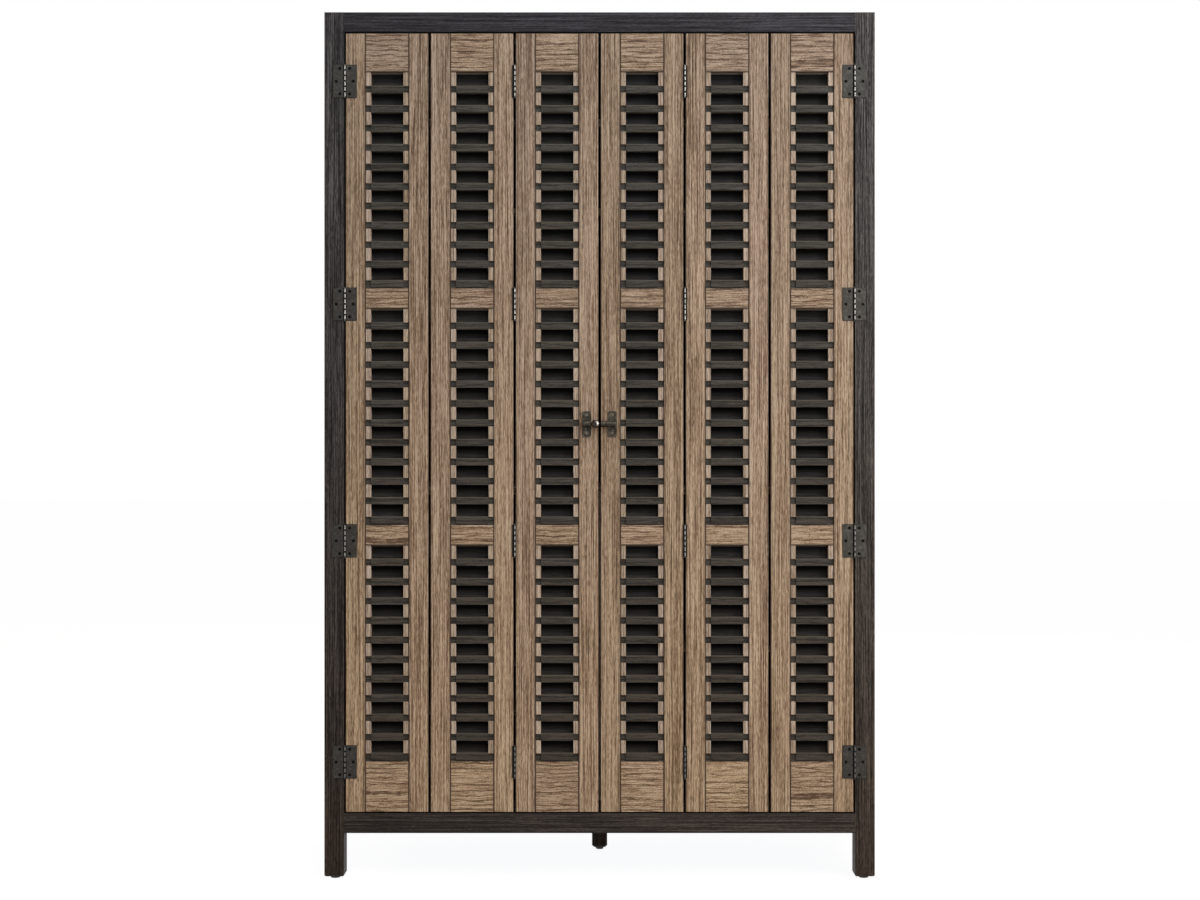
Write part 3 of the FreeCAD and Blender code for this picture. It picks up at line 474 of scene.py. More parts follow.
class Figure:
    """The figure of a board: growth rings, streaks and open pores, drawn in the board's frame."""

    def __init__(self, recipe: Recipe, board: Board, grain: Grain) -> None:
        """Draws what the wood's colour, roughness and relief share.

        Args:
            recipe: The recipe to add nodes to.
            board: The board.
            grain: How its timber is drawn.
        """
        self.recipe = recipe
        self.board = board
        self.grain = grain
        first, second, _ = board.luck
        self.wide = self.pick(grain.rail_width, 1.0)
        self.along = (board.along + first * grain.slide) / self.pick(grain.rail_stretch, 1.0)
        self.across = (board.across + second * grain.shift) / self.wide
        self.deep = board.deep / self.wide
        self.line = self.ring_line()
        self.band = self.drawn(grain.band)
        self.fine = self.drawn(grain.fine)
        self.pore = self.drawn(grain.pore).ease(*grain.pore_edges)

    def pick(self, rail: Value, stile: Value) -> Signal:
        """One value on rails and another on stiles."""
        return self.recipe.blend(self.board.upright, rail, stile)

    def drawn(self, streak: Streak) -> Signal:
        """A streak's noise."""
        place = (self.along / streak.length, self.across / streak.width, self.deep / streak.width)
        return self.recipe.noise(self.recipe.vector(*place), 1.0, streak.detail)

    def ring_line(self) -> Signal:
        """Draws the dark late wood of the growth rings, which is thinner and less broken on rails.

        Returns:
            One on a line, zero beside it.
        """
        grain = self.grain
        first, second, third = self.board.luck
        sway = (self.drawn(grain.sway) - MEAN) * self.pick(grain.rail_wander, 1.0)
        lean = self.board.along * ((first - MEAN) * grain.lean)
        side = self.board.across + sway * grain.wander + (second - MEAN) * grain.heart_spread + lean
        heart = third * grain.heart_spread + grain.heart
        depth = self.pick(heart * grain.rail_heart, self.board.deep + heart)
        wobble = (self.drawn(grain.wobble) - MEAN) * self.pick(grain.rail_jitter, grain.jitter)
        radius = (side * side + depth * depth).root() + wobble
        turn = (radius / (self.wide * grain.ring)).fraction()
        rise = turn.ease(*grain.line_rise)
        line = self.pick(rise * rise, rise) * (1.0 - turn.ease(*grain.line_end))
        whole = self.drawn(grain.gaps).ease(*grain.gap_edges)
        return line * self.recipe.blend(whole, self.pick(grain.rail_unbroken, 0.0), 1.0)

    def tone(self) -> Signal:
        """Adds up what makes the wood lighter or darker than its mean.

        Returns:
            The change of tone.
        """
        grain = self.grain
        hair = 1.0 - abs(self.drawn(grain.hair) - MEAN).ease(0.0, grain.hair_reach)
        line = (self.line - grain.line_level) * self.pick(grain.rail_line_weight, grain.line_weight)
        streaks = ((self.drawn(grain.broad), grain.broad), (self.band, grain.band),
                   (self.fine, grain.fine), (self.drawn(grain.tick), grain.tick))
        change = sum((noise - MEAN) * streak.weight for noise, streak in streaks)
        return (change - line - hair * grain.hair.weight) * self.pick(grain.rail_contrast, grain.contrast)

    def relief(self) -> Signal:
        """The height of the brushed surface."""
        raised = self.fine * self.grain.fine.lift + self.band * self.grain.band.lift
        return raised + self.line * self.grain.line_lift + self.pore * self.grain.pore.lift


@dataclass(frozen=True)
class LouvrePaintedLight:
    """Painted shade behind the slats and painted highlights on their upper edges, in metres and shares.

    The back boards are darkened as painted shade, by a first share at the height of a slat's upper edge
    and by a further share added over a reach above it, so that they are darkest under the next slat. The
    painted shade is bluer and rougher, and calms the grain. The row under the rail has less by a share, and
    the rear faces, as deep as clean_skin, have none. A painted highlight lies below a slat's upper edge
    between two depths, and the bead under the rail is lightened with it as painted light. Numbers are kept
    for a panel's rows.
    """

    painted_shade: float = 0.34
    more_painted_shade: float = 0.61
    painted_shade_reach: float = 0.024
    top_shade_relief: float = 0.15
    painted_shade_calm: float = 0.7
    painted_shade_rough: float = 0.5
    painted_shade_red: float = 0.12
    painted_shade_blue: float = 0.18
    clean_skin: float = 0.0008
    edge_highlight_below: Span = (0.0030, 0.0014)
    edge_highlight: float = 0.5
    # The colour of the painted highlight on the slats and of the bead's painted light.
    wear_and_highlight: Colour = srgb(92, 87, 81)
    numbers: float = 20.0


@dataclass(frozen=True)
class GlazeAndPaintedShade:
    """Dark glazing in a leaf's joints, with painted shade under its rails, at its edges and beside its
    hinges.

    Sizes are in metres and shares. The glazing fades out over groove from the line between stile and panel,
    and painted shadow over a span from the line under a rail, where rail and panel meet. Painted shade
    fades out over gain from the edge in which the edge hinges' recesses are cut. Edge is where the painted
    shade at the leaf's edges starts and ends, from the leaf's outer edge. Rim is how far painted shadow
    lies round the plates on the outer leaves, and skin is how far behind the front faces the shade beside
    the hinges ends.
    """

    # Used for the joints and for the painted shade under rails and at the leaves' edges.
    colour: Colour = srgb(58, 44, 34)
    groove: Span = (0.0009, 0.0026)
    rail_joint_shadow: Span = (0.0010, 0.0034)
    edge: Span = (0.0012, 0.0002)
    joint_and_shadow_share: float = 0.9
    rail_joint_shadow_share: float = 0.85
    edge_shade_share: float = 0.75
    # Painted shade beside the hinges and round their plates.
    gain_shade_colour: Colour = srgb(12, 10, 8)
    gain: Span = (0.0030, 0.0042)
    gain_shade_share: float = 0.95
    gain_slack: float = 0.0005
    rim: float = 0.0012
    skin: float = 0.0020

    def lay(self, recipe: Recipe, colour: Signal) -> Signal:
        """Lays the glazing and the painted shade over a leaf's wood.

        Args:
            recipe: The recipe to add nodes to.
            colour: The wood's colour.

        Returns:
            The colour with the glaze.
        """
        x, _, z = recipe.place()
        local = abs(DOORS.leaf(x)[1])
        groove = 1.0 - abs(local - DOORS.half_panel).ease(*self.groove)
        # The lowest rail lies below the first panel, and no panel lies below it.
        panel = recipe.math("MAXIMUM", DOORS.panel(z), 0.0)
        # Painted shadow under each rail, over the panel, where rail and panel meet.
        over_panel = z - DOORS.panel_floor - DOORS.panel_high - panel * DOORS.panel_pitch
        rail_joint_shadow = (1.0 - abs(over_panel).ease(*self.rail_joint_shadow)) * (1.0 - local.above(DOORS.half_panel))
        joint_and_shadow = recipe.math("MAXIMUM", groove, rail_joint_shadow * self.rail_joint_shadow_share)
        colour = recipe.tint(joint_and_shadow * self.joint_and_shadow_share, colour, self.colour)
        # Painted shade at the leaf's edges, so that the gaps between leaves read dark.
        edge = local.ease(*(DOORS.half_leaf - inset for inset in self.edge))
        colour = recipe.tint(edge * self.edge_shade_share, colour, self.colour)
        # Painted shade beside the hinges.
        return recipe.tint(self.hinge_shade(recipe) * self.gain_shade_share, colour, self.gain_shade_colour)

    def hinge_shade(self, recipe: Recipe) -> Signal:
        """Finds the painted shade in the edge hinges' recesses and round the plates, on the leaves' fronts.

        Args:
            recipe: The recipe to add nodes to.

        Returns:
            One beside the hinges, zero elsewhere.
        """
        x, y, z = recipe.place()
        inset = abs(x) - DOORS.middle_leaf_edge()
        gain = inset.above(-self.gain_slack) * (1.0 - inset.ease(*self.gain)) * HINGES.beside(z)
        plate = abs(x).above(HINGES.plate_end - self.rim) * HINGES.beside(z, self.rim)
        return (gain + plate) * (1.0 - y.above(DOORS.front + self.skin))


@dataclass(frozen=True)
class WoodFinish:
    """An oak finish: its colours, its figure and how it takes the light.

    Plain wood lies at mean_tone between dark and pale, with middle at middle_stop. Its level is multiplied
    by foot at the floor and by a tint at the doors' upper ends, blended by height as painted light and
    shade, and grows as painted light by a share in a metre to the right.
    Boards that lie flat are drawn as stiles by a share of flat_upright. A board's depth ends after a layer,
    and side rails reach inside the side panels' faces by side_rail_reach.
    """

    name: str
    dark: Colour
    middle: Colour
    pale: Colour
    pore: Colour
    run: Run
    grain: Grain = Grain()
    # The louvres' painted shade and painted highlights.
    painted_louvre_light: LouvrePaintedLight = LouvrePaintedLight()
    glaze_and_shade: GlazeAndPaintedShade = GlazeAndPaintedShade()
    rough: float = 0.55
    specular: float = 0.20
    relief: float = 0.0004
    bump: float = 0.8
    mean_tone: float = 0.67
    middle_stop: float = 0.52
    contrast: float = 1.0
    pore_share: float = 0.55
    pore_rough: float = 0.12
    fine_gloss: float = 0.1
    level: float = 1.0
    board_change: float = 0.16
    hue_change: float = 0.08
    # Painted light and shade: tints at the floor and at the upper ends, and light growing to the right.
    foot: Tint = (1.0, 1.0, 1.0)
    painted_head_tint: Tint = (1.0, 1.0, 1.0)
    painted_right_light: float = 0.0
    flat_upright: float = 0.6
    layer: float = 0.31
    side_rail_reach: float = 0.012

    def board(self, recipe: Recipe) -> Board:
        """Finds the board that a point lies in, and the point's place in it.

        Args:
            recipe: The recipe to add nodes to.

        Returns:
            The board's frame.
        """
        if self.run is Run.LEAF:
            return self.leaf_board(recipe)
        if self.run is Run.LOUVRE:
            return self.louvre_board(recipe)
        place = recipe.place()
        along, across, deep, spacing = self.run.value
        number = (place[across] / spacing + HALF).floor()
        local = place[across] - number * spacing
        if self.run is Run.CASE_RAILS:
            return self.case_rail_board(recipe, number, local)
        luck = recipe.chance(number, (place[deep] / self.layer).floor(), BOARD_SEED)
        return Board(place[along], local, place[deep], luck, 1.0 if along == Z else self.flat_upright)

    def case_rail_board(self, recipe: Recipe, number: Signal, across: Signal) -> Board:
        """Finds the frame of a rail of the case, which runs along the back or along a side.

        Args:
            recipe: The recipe to add nodes to.
            number: The rail's number, counted upwards.
            across: The point's place across the rail.

        Returns:
            The board's frame.
        """
        x, y, _ = recipe.place()
        side = abs(x).above(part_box("side_panels")[1].x - self.side_rail_reach)
        luck = recipe.chance(number, side, (x / self.layer).floor() * side)
        return Board(recipe.blend(side, x, y), across, recipe.blend(side, y, x), luck, self.flat_upright)

    @staticmethod
    def leaf_board(recipe: Recipe) -> Board:
        """Finds the stile or rail of a leaf that a point lies in.

        Args:
            recipe: The recipe to add nodes to.

        Returns:
            The board's frame.
        """
        x, y, z = recipe.place()
        leaf, local = DOORS.leaf(x)
        upright = abs(local).above(DOORS.half_panel)
        rail = (z / DOORS.rail_step).floor()
        piece = recipe.blend(upright, rail + FIRST_RAIL, local.above(0.0))
        rail_middle = rail * DOORS.rail_pitch + DOORS.first_rail
        stile_middle = (DOORS.half_leaf + DOORS.half_panel) / 2
        across = recipe.blend(upright, z - rail_middle, abs(local) - stile_middle)
        luck = recipe.chance(leaf, piece, LEAF_SEED)
        return Board(recipe.blend(upright, local, z), across, y, luck, upright)

    def louvre_board(self, recipe: Recipe) -> Board:
        """Finds the slat that a point lies in or, behind the slats, the back board with its painted shade.

        Args:
            recipe: The recipe to add nodes to.

        Returns:
            The board's frame, with painted shade and painted light.
        """
        painted_louvre_light = self.painted_louvre_light
        x, y, z = recipe.place()
        leaf, local = DOORS.leaf(x)
        panel = DOORS.panel(z)
        height = z - DOORS.panel_floor - DOORS.slat_foot - panel * DOORS.panel_pitch
        row = (height / DOORS.slat_pitch).floor()
        rise = height - row * DOORS.slat_pitch
        behind = y.above(DOORS.front + DOORS.board_depth)
        in_view = behind * (1.0 - y.above(DOORS.back - painted_louvre_light.clean_skin))
        # Painted shade on the back boards, deepest under the slat above.
        shade = rise.ease(DOORS.slat_nose, DOORS.slat_nose + painted_louvre_light.painted_shade_reach)
        top_row = DOORS.slats - 1
        painted_shade = in_view * (painted_louvre_light.painted_shade + shade * painted_louvre_light.more_painted_shade)
        painted_shade = painted_shade * (1.0 - row.above(top_row - HALF) * painted_louvre_light.top_shade_relief)
        # What lies over the top row is the bead under the rail, lightened as painted light.
        bead = row.above(top_row + HALF)
        # A painted highlight just below each slat's upper edge.
        edge_highlight = rise.ease(*(DOORS.slat_nose - below for below in painted_louvre_light.edge_highlight_below)) * painted_louvre_light.edge_highlight
        wear_and_highlight = (1.0 - behind) * recipe.math("MAXIMUM", edge_highlight, bead)
        piece = recipe.blend(behind, row + panel * painted_louvre_light.numbers, -1.0 - panel)
        luck = recipe.chance(leaf, piece, LOUVRE_SEED)
        return Board(local, recipe.blend(behind, rise, height), y, luck, 0.0, painted_shade, wear_and_highlight)

    def material(self) -> bpy.types.Material:
        """Colours the figure of the boards.

        Returns:
            The finished material.
        """
        recipe = material_recipe(self.name)
        board = self.board(recipe)
        figure = Figure(recipe, board, self.grain)
        tone = self.mean_tone + figure.tone() * (1.0 - board.painted_shade * self.painted_louvre_light.painted_shade_calm) * self.contrast
        stops = [(0.0, self.dark), (self.middle_stop, self.middle), (1.0, self.pale)]
        colour = recipe.node("ShaderNodeValToRGB", {"stops": stops}, {"Fac": tone}, "Color")
        colour = recipe.tint(figure.pore * self.pore_share, colour, self.pore)
        if self.run is Run.LOUVRE:
            # Painted highlight on the slats' upper edges and painted light on the bead.
            colour = recipe.tint(board.wear_and_highlight, colour, self.painted_louvre_light.wear_and_highlight)
        # The board's own tone, with painted shade and painted light by height and side.
        colour = recipe.tint(1.0, colour, self.tone_and_painted_light(recipe, board), "MULTIPLY")
        if self.run in (Run.LEAF, Run.STRIP):
            # Glazing in the joints, and painted shade under rails, at the edges and beside the hinges.
            colour = self.glaze_and_shade.lay(recipe, colour)
        rough = self.rough + figure.pore * self.pore_rough - (figure.fine - MEAN) * self.fine_gloss
        return recipe.surface({
            "Base Color": colour,
            "Roughness": rough + board.painted_shade * self.painted_louvre_light.painted_shade_rough,
            "Specular IOR Level": self.specular,
            "Normal": recipe.bump(figure.relief(), self.relief, self.bump),
        })

    def tone_and_painted_light(self, recipe: Recipe, board: Board) -> Signal:
        """Finds the tint that a board's own tone, its painted shade and painted light by its place lay over
        the wood.

        Args:
            recipe: The recipe to add nodes to.
            board: The board.

        Returns:
            What the wood's colour is multiplied by.
        """
        _, second, third = board.luck
        x, _, z = recipe.place()
        own = self.level + (third - MEAN) * self.board_change
        level = own * (1.0 - board.painted_shade) * (1.0 + x * self.painted_right_light)
        height = z / DOORS.high
        red, green, blue = (recipe.blend(height, foot, painted_head_tint) * level
                            for foot, painted_head_tint in zip(self.foot, self.painted_head_tint))
        hue = 1.0 + (second - MEAN) * self.hue_change
        return recipe.vector(red * (1.0 - board.painted_shade * self.painted_louvre_light.painted_shade_red), green,
                             blue * (1.0 + board.painted_shade * self.painted_louvre_light.painted_shade_blue) * hue)


@dataclass(frozen=True)
class MetalFinish:
    """An aged metal finish, mottled at random between its aged colour and a paler one.

    The paler colour stands for wearing of the metal, and on the latch also for painted highlights. The
    barrels of hinges stand out from the leaves by barrel_depth and are darker, with a painted highlight on
    each knuckle that is duller near the floor. A finish can have a painted highlight on its right flank.
    Edges are where something starts and ends softly, by noise or by how far the surface has turned.
    """

    name: str
    base: Colour
    wear_and_highlight: Colour
    rough: float
    patch: float = 0.006
    patch_detail: float = 4.0
    patch_rough: float = 0.6
    patch_edges: Span = (0.42, 0.72)
    patch_share: float = 0.7
    speckles: float = 6.0
    speckle_share: float = 0.2
    speckle_lift: float = 0.4
    rough_change: float = 0.25
    metallic: float = 0.9
    relief: float = 0.0001
    bump: float = 0.6
    # The painted highlight's colour, and the barrels' darker colour.
    painted_highlight: Colour = srgb(146, 143, 138)
    barrel_dark: Colour = srgb(20, 19, 18)
    barrels: bool = False
    barrel_depth: float = 0.0032
    barrel_edge: float = 0.0006
    knuckle_edges: Span = (0.28, 0.38)
    painted_highlight_edges: Tuple[Span, Span] = ((-0.10, 0.15), (0.60, 0.85))
    painted_highlight_heights: Span = (0.2, 1.3)
    painted_highlight_dull: float = 0.45
    flank_painted_highlight: float = 0.0
    flank_edges: Tuple[Span, Span] = ((0.10, 0.50), (0.80, 0.97))
    flank_rise: float = 0.15
    flank_fade: Span = (0.2, 0.7)

    def material(self) -> bpy.types.Material:
        """Mottles the metal, darkens the barrels and paints highlights on knuckles and flanks.

        Returns:
            The finished material.
        """
        recipe = material_recipe(self.name)
        point = recipe.point()
        patches = recipe.noise(point, 1 / self.patch, self.patch_detail, self.patch_rough)
        speckle = recipe.noise(point, self.speckles / self.patch)
        share = patches.ease(*self.patch_edges) * self.patch_share + speckle * self.speckle_share
        colour = recipe.tint(share, self.base, self.wear_and_highlight)
        if self.barrels:
            barrel = self.barrel(recipe)
            # The barrels are made darker, and each knuckle gets a painted highlight.
            colour = recipe.tint(barrel, colour, self.barrel_dark)
            colour = recipe.tint(barrel * self.knuckle_painted_highlight(recipe), colour, self.painted_highlight)
        if self.flank_painted_highlight:
            # A painted highlight on the right flank.
            colour = recipe.tint(self.flank(recipe) * self.flank_painted_highlight, colour, self.painted_highlight)
        return recipe.surface({
            "Base Color": colour,
            "Metallic": self.metallic,
            "Roughness": self.rough + (MEAN - patches) * self.rough_change,
            "Normal": recipe.bump(patches + speckle * self.speckle_lift, self.relief, self.bump),
        })

    @staticmethod
    def between(turned: Signal, edges: Tuple[Span, Span]) -> Signal:
        """One from a soft start to a soft end."""
        start, end = edges
        return turned.ease(*start) * (1.0 - turned.ease(*end))

    def flank(self, recipe: Recipe) -> Signal:
        """Finds the right flank of a knob, where a painted highlight lies.

        Args:
            recipe: The recipe to add nodes to.

        Returns:
            One on the flank, zero elsewhere.
        """
        right, _, up = recipe.facing()
        middle = 1.0 - abs(up - self.flank_rise).ease(*self.flank_fade)
        return self.between(right, self.flank_edges) * middle

    def knuckle_painted_highlight(self, recipe: Recipe) -> Signal:
        """Finds the painted highlights on the hinges' knuckles, which face forward and right and are duller
        near the floor.

        Args:
            recipe: The recipe to add nodes to.

        Returns:
            One on a painted highlight, zero beside it.
        """
        z = recipe.place()[Z]
        ends = abs(HINGES.phase(z) - HALF).ease(*self.knuckle_edges)
        band = self.between(recipe.facing()[X], self.painted_highlight_edges)
        return band * (1.0 - ends) * recipe.blend(z.ease(*self.painted_highlight_heights), self.painted_highlight_dull, 1.0)

    def barrel(self, recipe: Recipe) -> Signal:
        """Finds the barrels, which stand before or behind the leaves further than a plate does.

        Args:
            recipe: The recipe to add nodes to.

        Returns:
            One on a barrel, zero on a plate.
        """
        y = recipe.place()[Y]
        near = self.barrel_depth - self.barrel_edge
        before = 1.0 - y.ease(DOORS.front - self.barrel_depth, DOORS.front - near)
        return before + y.ease(DOORS.back + near, DOORS.back + self.barrel_depth)


@dataclass(frozen=True)
class NylonFinish:
    """Moulded nylon with a fine texture and scuffs, both counted by the metre."""

    name: str
    base: Colour
    scuffed: Colour
    rough: float = 0.45
    rough_change: float = 0.2
    grains: float = 900.0
    scuffs: float = 120.0
    scuff_detail: float = 4.0
    scuff_edges: Span = (0.5, 0.75)
    relief: float = 0.0001
    bump: float = 0.5

    def material(self) -> bpy.types.Material:
        """Speckles and scuffs the moulding.

        Returns:
            The finished material.
        """
        recipe = material_recipe(self.name)
        point = recipe.point()
        texture = recipe.noise(point, self.grains)
        scuffs = recipe.noise(point, self.scuffs, self.scuff_detail).ease(*self.scuff_edges)
        return recipe.surface({
            "Base Color": recipe.tint(scuffs, self.base, self.scuffed),
            "Roughness": self.rough + texture * self.rough_change,
            "Normal": recipe.bump(texture, self.relief, self.bump),
        })


def charred(name: str, run: Run) -> WoodFinish:
    """Makes the dark oak of the case; rails at the front are calmer.

    Args:
        name: The material's name.
        run: How the boards lie.

    Returns:
        The finish.
    """
    # Painted light: darker and warmer towards the floor, a cool sheen at the top, lighter to the right.
    finish = WoodFinish(name, dark=srgb(21, 20, 20), middle=srgb(45, 43, 43), pale=srgb(88, 86, 86),
                        pore=srgb(13, 12, 12), run=run, rough=0.45, specular=0.06, relief=0.0005,
                        board_change=0.2, pore_share=0.6, level=1.22, foot=(0.60, 0.46, 0.36),
                        painted_head_tint=(1.0, 1.0, 1.04), painted_right_light=0.3, contrast=0.73)
    if run is Run.RAIL:
        # The front rails' painted light: warmer low down and a cooler sheen at the top.
        return replace(finish, pore_share=0.3, level=0.80, foot=(1.10, 0.93, 0.80),
                       painted_head_tint=(1.0, 1.0, 1.18), contrast=0.45)
    return finish


def natural(name: str, run: Run) -> WoodFinish:
    """The wire-brushed oak of the leaves and of the fittings."""
    # Painted light: the foot tint makes the wood lighter and warmer towards the floor.
    return WoodFinish(name, dark=srgb(71, 53, 40), middle=srgb(126, 105, 87), pale=srgb(166, 148, 132),
                      pore=srgb(71, 55, 43), run=run, pore_share=0.6, foot=(1.126, 1.081, 0.962))


PALE_STRIP = WoodFinish("pale_oak_strip", dark=srgb(94, 78, 63), middle=srgb(144, 126, 110),
                        pale=srgb(175, 159, 146), pore=srgb(92, 76, 62), run=Run.STRIP, contrast=0.86)
# Painted shade: the foot tint makes the slats darker towards the floor.
CHARRED_SLAT = WoodFinish("charred_oak_slat", dark=srgb(43, 41, 38), middle=srgb(61, 58, 55),
                          pale=srgb(78, 75, 71), pore=srgb(38, 36, 33), run=Run.LOUVRE, rough=0.45,
                          specular=0.06, relief=0.0002, pore_share=0.3, board_change=0.15,
                          foot=(0.78, 0.70, 0.63), contrast=0.84)
# Its barrels are darker and carry painted highlights on the knuckles.
AGED_PEWTER = MetalFinish("aged_pewter", base=srgb(46, 44, 41), wear_and_highlight=srgb(70, 67, 62), rough=0.40,
                          barrels=True)
WORN_PEWTER = MetalFinish("worn_pewter", base=srgb(60, 58, 54), wear_and_highlight=srgb(96, 93, 88), rough=0.35)
DARK_STEEL = MetalFinish("dark_steel", base=srgb(6, 6, 5), wear_and_highlight=srgb(14, 13, 12), rough=0.60,
                         patch=0.003)
BRONZE_SCREW = MetalFinish("bronze_screw", base=srgb(70, 66, 57), wear_and_highlight=srgb(120, 112, 98), rough=0.35,
                           patch=0.003)
# The latch's paler patches stand for wearing of the metal and for painted highlights.
DARK_BRONZE = MetalFinish("dark_bronze", base=srgb(30, 27, 23), wear_and_highlight=srgb(92, 86, 74), rough=0.55)
# The knob has a painted highlight on its right flank.
KNOB_BRONZE = MetalFinish("rubbed_bronze", base=srgb(48, 40, 35), wear_and_highlight=srgb(74, 64, 57), rough=0.24,
                            patch=0.005, flank_painted_highlight=0.72, painted_highlight=srgb(226, 216, 206))
NICKEL = MetalFinish("nickel", base=srgb(178, 174, 168), wear_and_highlight=srgb(208, 205, 200), rough=0.3)
BLACK_NYLON = NylonFinish("black_nylon", base=srgb(20, 18, 17), scuffed=srgb(38, 34, 32))

WELD_REACH = 0.00001
FLAT_ANGLE = math.radians(1.0)
SHARP_ANGLE = math.radians(40.0)
FACE_WEIGHT = 80


def ease_edges(name: str, width: float, segments: int = 2) -> None:
    """Rounds a node's edges with modifiers, so that they catch the light.

    Args:
        name: The node.
        width: How wide the rounding is, in metres.
        segments: How many steps it takes.
    """
    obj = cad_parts[name]
    weld = obj.modifiers.new("join_faces", "WELD")
    weld.merge_threshold = WELD_REACH
    flat = obj.modifiers.new("flat_faces", "DECIMATE")
    flat.decimate_type = "DISSOLVE"
    flat.angle_limit = FLAT_ANGLE
    bevel = obj.modifiers.new("eased_edges", "BEVEL")
    bevel.width = width
    bevel.segments = segments
    bevel.limit_method = "ANGLE"
    bevel.angle_limit = SHARP_ANGLE
    normal = obj.modifiers.new("even_shading", "WEIGHTED_NORMAL")
    normal.weight = FACE_WEIGHT


def dress(name: str, material: bpy.types.Material) -> None:
    """Gives a node its one material.

    Args:
        name: The node.
        material: What it is finished with.
    """
    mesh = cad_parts[name].data
    mesh.materials.clear()
    mesh.materials.append(material)
    LOG.info("%s is finished in %s", name, material.name)


def dress_boards(runs: Dict[str, Run], edge: float, wood: str,
                 finish: Callable[[str, Run], WoodFinish]) -> None:
    """Finishes nodes made of boards, with one material for each way that boards lie.

    Args:
        runs: The nodes, and how their boards lie.
        edge: How wide their edges are rounded, in metres.
        wood: What the materials' names start with.
        finish: What makes a finish from a name and a run.
    """
    made = {run: finish(f"{wood}_{run.name.lower()}", run).material()
            for run in Run if run in runs.values()}
    for name, run in runs.items():
        dress(name, made[run])
        ease_edges(name, edge)


@dataclass
class Case:
    """The charred oak case on its five feet."""

    edge: float = 0.0009
    # The centre leg's wood is made lighter, as painted light on a leg that stands in shade under the case.
    leg_painted_light: float = 1.95
    runs: Dict[str, Run] = field(default_factory=lambda: {
        "corner_posts": Run.POST, "front_rails": Run.RAIL, "side_and_back_rails": Run.CASE_RAILS,
        "side_panels": Run.SIDE_PANEL, "back_panel": Run.BACK_PANEL, "top_panel": Run.SHELF,
        "floor_panel": Run.SHELF, "door_stops": Run.RAIL})

    def build(self) -> None:
        """Finishes the case's nodes."""
        dress_boards(self.runs, self.edge, "charred_oak", charred)
        leg = replace(charred("charred_oak_leg", Run.POST), level=self.leg_painted_light)
        dress("centre_leg", leg.material())
        ease_edges("centre_leg", self.edge)
        dress("foot_glides", BLACK_NYLON.material())


@dataclass
class Leaves:
    """The six door leaves: frames, slats and the strips that hold them."""

    slat_edge: float = 0.0016
    strip_edge: float = 0.0004

    def build(self) -> None:
        """Finishes the leaves' wood."""
        frames = natural("brushed_oak_leaf", Run.LEAF).material()
        strips = PALE_STRIP.material()
        louvres = CHARRED_SLAT.material()
        for side in ("left", "right"):
            for leaf in ("outer", "middle", "inner"):
                name = f"{side}_{leaf}"
                dress(f"{name}_frame", frames)
                dress(f"{name}_louvres", louvres)
                dress(f"{name}_slat_strips", strips)
                ease_edges(f"{name}_louvres", self.slat_edge)
                ease_edges(f"{name}_slat_strips", self.strip_edge)


@dataclass
class Hardware:
    """Hinges, screws and the barrel bolt."""

    plate_edge: float = 0.0004
    plate_segments: int = 1

    def build(self) -> None:
        """Finishes the metal."""
        plate = AGED_PEWTER.material()
        pin = WORN_PEWTER.material()
        screw = DARK_STEEL.material()
        latch_screw = BRONZE_SCREW.material()
        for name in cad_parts:
            if name.endswith("hinge_plates"):
                dress(name, plate)
                ease_edges(name, self.plate_edge, self.plate_segments)
            elif name.endswith("hinge_pins"):
                dress(name, pin)
            elif name.endswith("screws"):
                dress(name, latch_screw if "inner" in name else screw)
        bronze = DARK_BRONZE.material()
        for name in ("latch_guide", "latch_bolt", "latch_receiver"):
            dress(name, bronze)
        dress("latch_knob", KNOB_BRONZE.material())


@dataclass
class Inside:
    """The bar fittings behind the doors."""

    edge: float = 0.0010
    runs: Dict[str, Run] = field(default_factory=lambda: {
        "counter_shelf": Run.SHELF, "upper_shelf": Run.SHELF, "partition": Run.SIDE_PANEL,
        "adjustable_shelves": Run.SHELF, "shelf_cleats": Run.BEARER, "bottle_rack": Run.BEARER,
        "stemware_rack": Run.BEARER})

    def build(self) -> None:
        """Finishes the fittings."""
        dress_boards(self.runs, self.edge, "satin_oak", natural)
        dress("shelf_pins", NICKEL.material())


def put(name: str, data: bpy.types.ID) -> bpy.types.Object:
    """Puts a new object into the scene.

    Args:
        name: The object's name.
        data: Its lamp, camera or mesh.

    Returns:
        The object.
    """
    obj = bpy.data.objects.new(name, data)
    bpy.context.scene.collection.objects.link(obj)
    return obj


@dataclass(frozen=True)
class Softbox:
    """One soft lamp aimed at the armoire."""

    name: str
    place: Tuple[float, float, float]
    aim: Tuple[float, float, float]
    size: Span
    power: float
    colour: Tint

    def build(self) -> None:
        """Hangs the lamp."""
        lamp = bpy.data.lights.new(self.name, "AREA")
        lamp.shape = "RECTANGLE"
        lamp.size, lamp.size_y = self.size
        lamp.energy = self.power
        lamp.color = self.colour
        obj = put(self.name, lamp)
        obj.location = self.place
        direction = Vector(self.aim) - Vector(self.place)
        obj.rotation_euler = direction.to_track_quat("-Z", "Y").to_euler()


@dataclass(frozen=True)
class Silk:
    """A wide overhead silk, so far off that it lights the armoire evenly from top to bottom.

    Its turn to the right of the camera, its height above the floor and its spread are in degrees.
    """

    name: str
    turn: float
    height: float
    spread: float
    strength: float
    colour: Tint

    def build(self) -> None:
        """Hangs the silk."""
        lamp = bpy.data.lights.new(self.name, "SUN")
        lamp.angle = math.radians(self.spread)
        lamp.energy = self.strength
        lamp.color = self.colour
        obj = put(self.name, lamp)
        obj.rotation_euler = (math.radians(90.0 - self.height), 0.0, math.radians(self.turn))


WARM_LIGHT: Tint = (1.0, 0.98, 0.95)
PLAIN_LIGHT: Tint = (1.0, 0.99, 0.97)
COOL_LIGHT: Tint = (0.76, 0.90, 1.0)
SILK_LIGHT: Tint = (1.0, 0.975, 0.93)


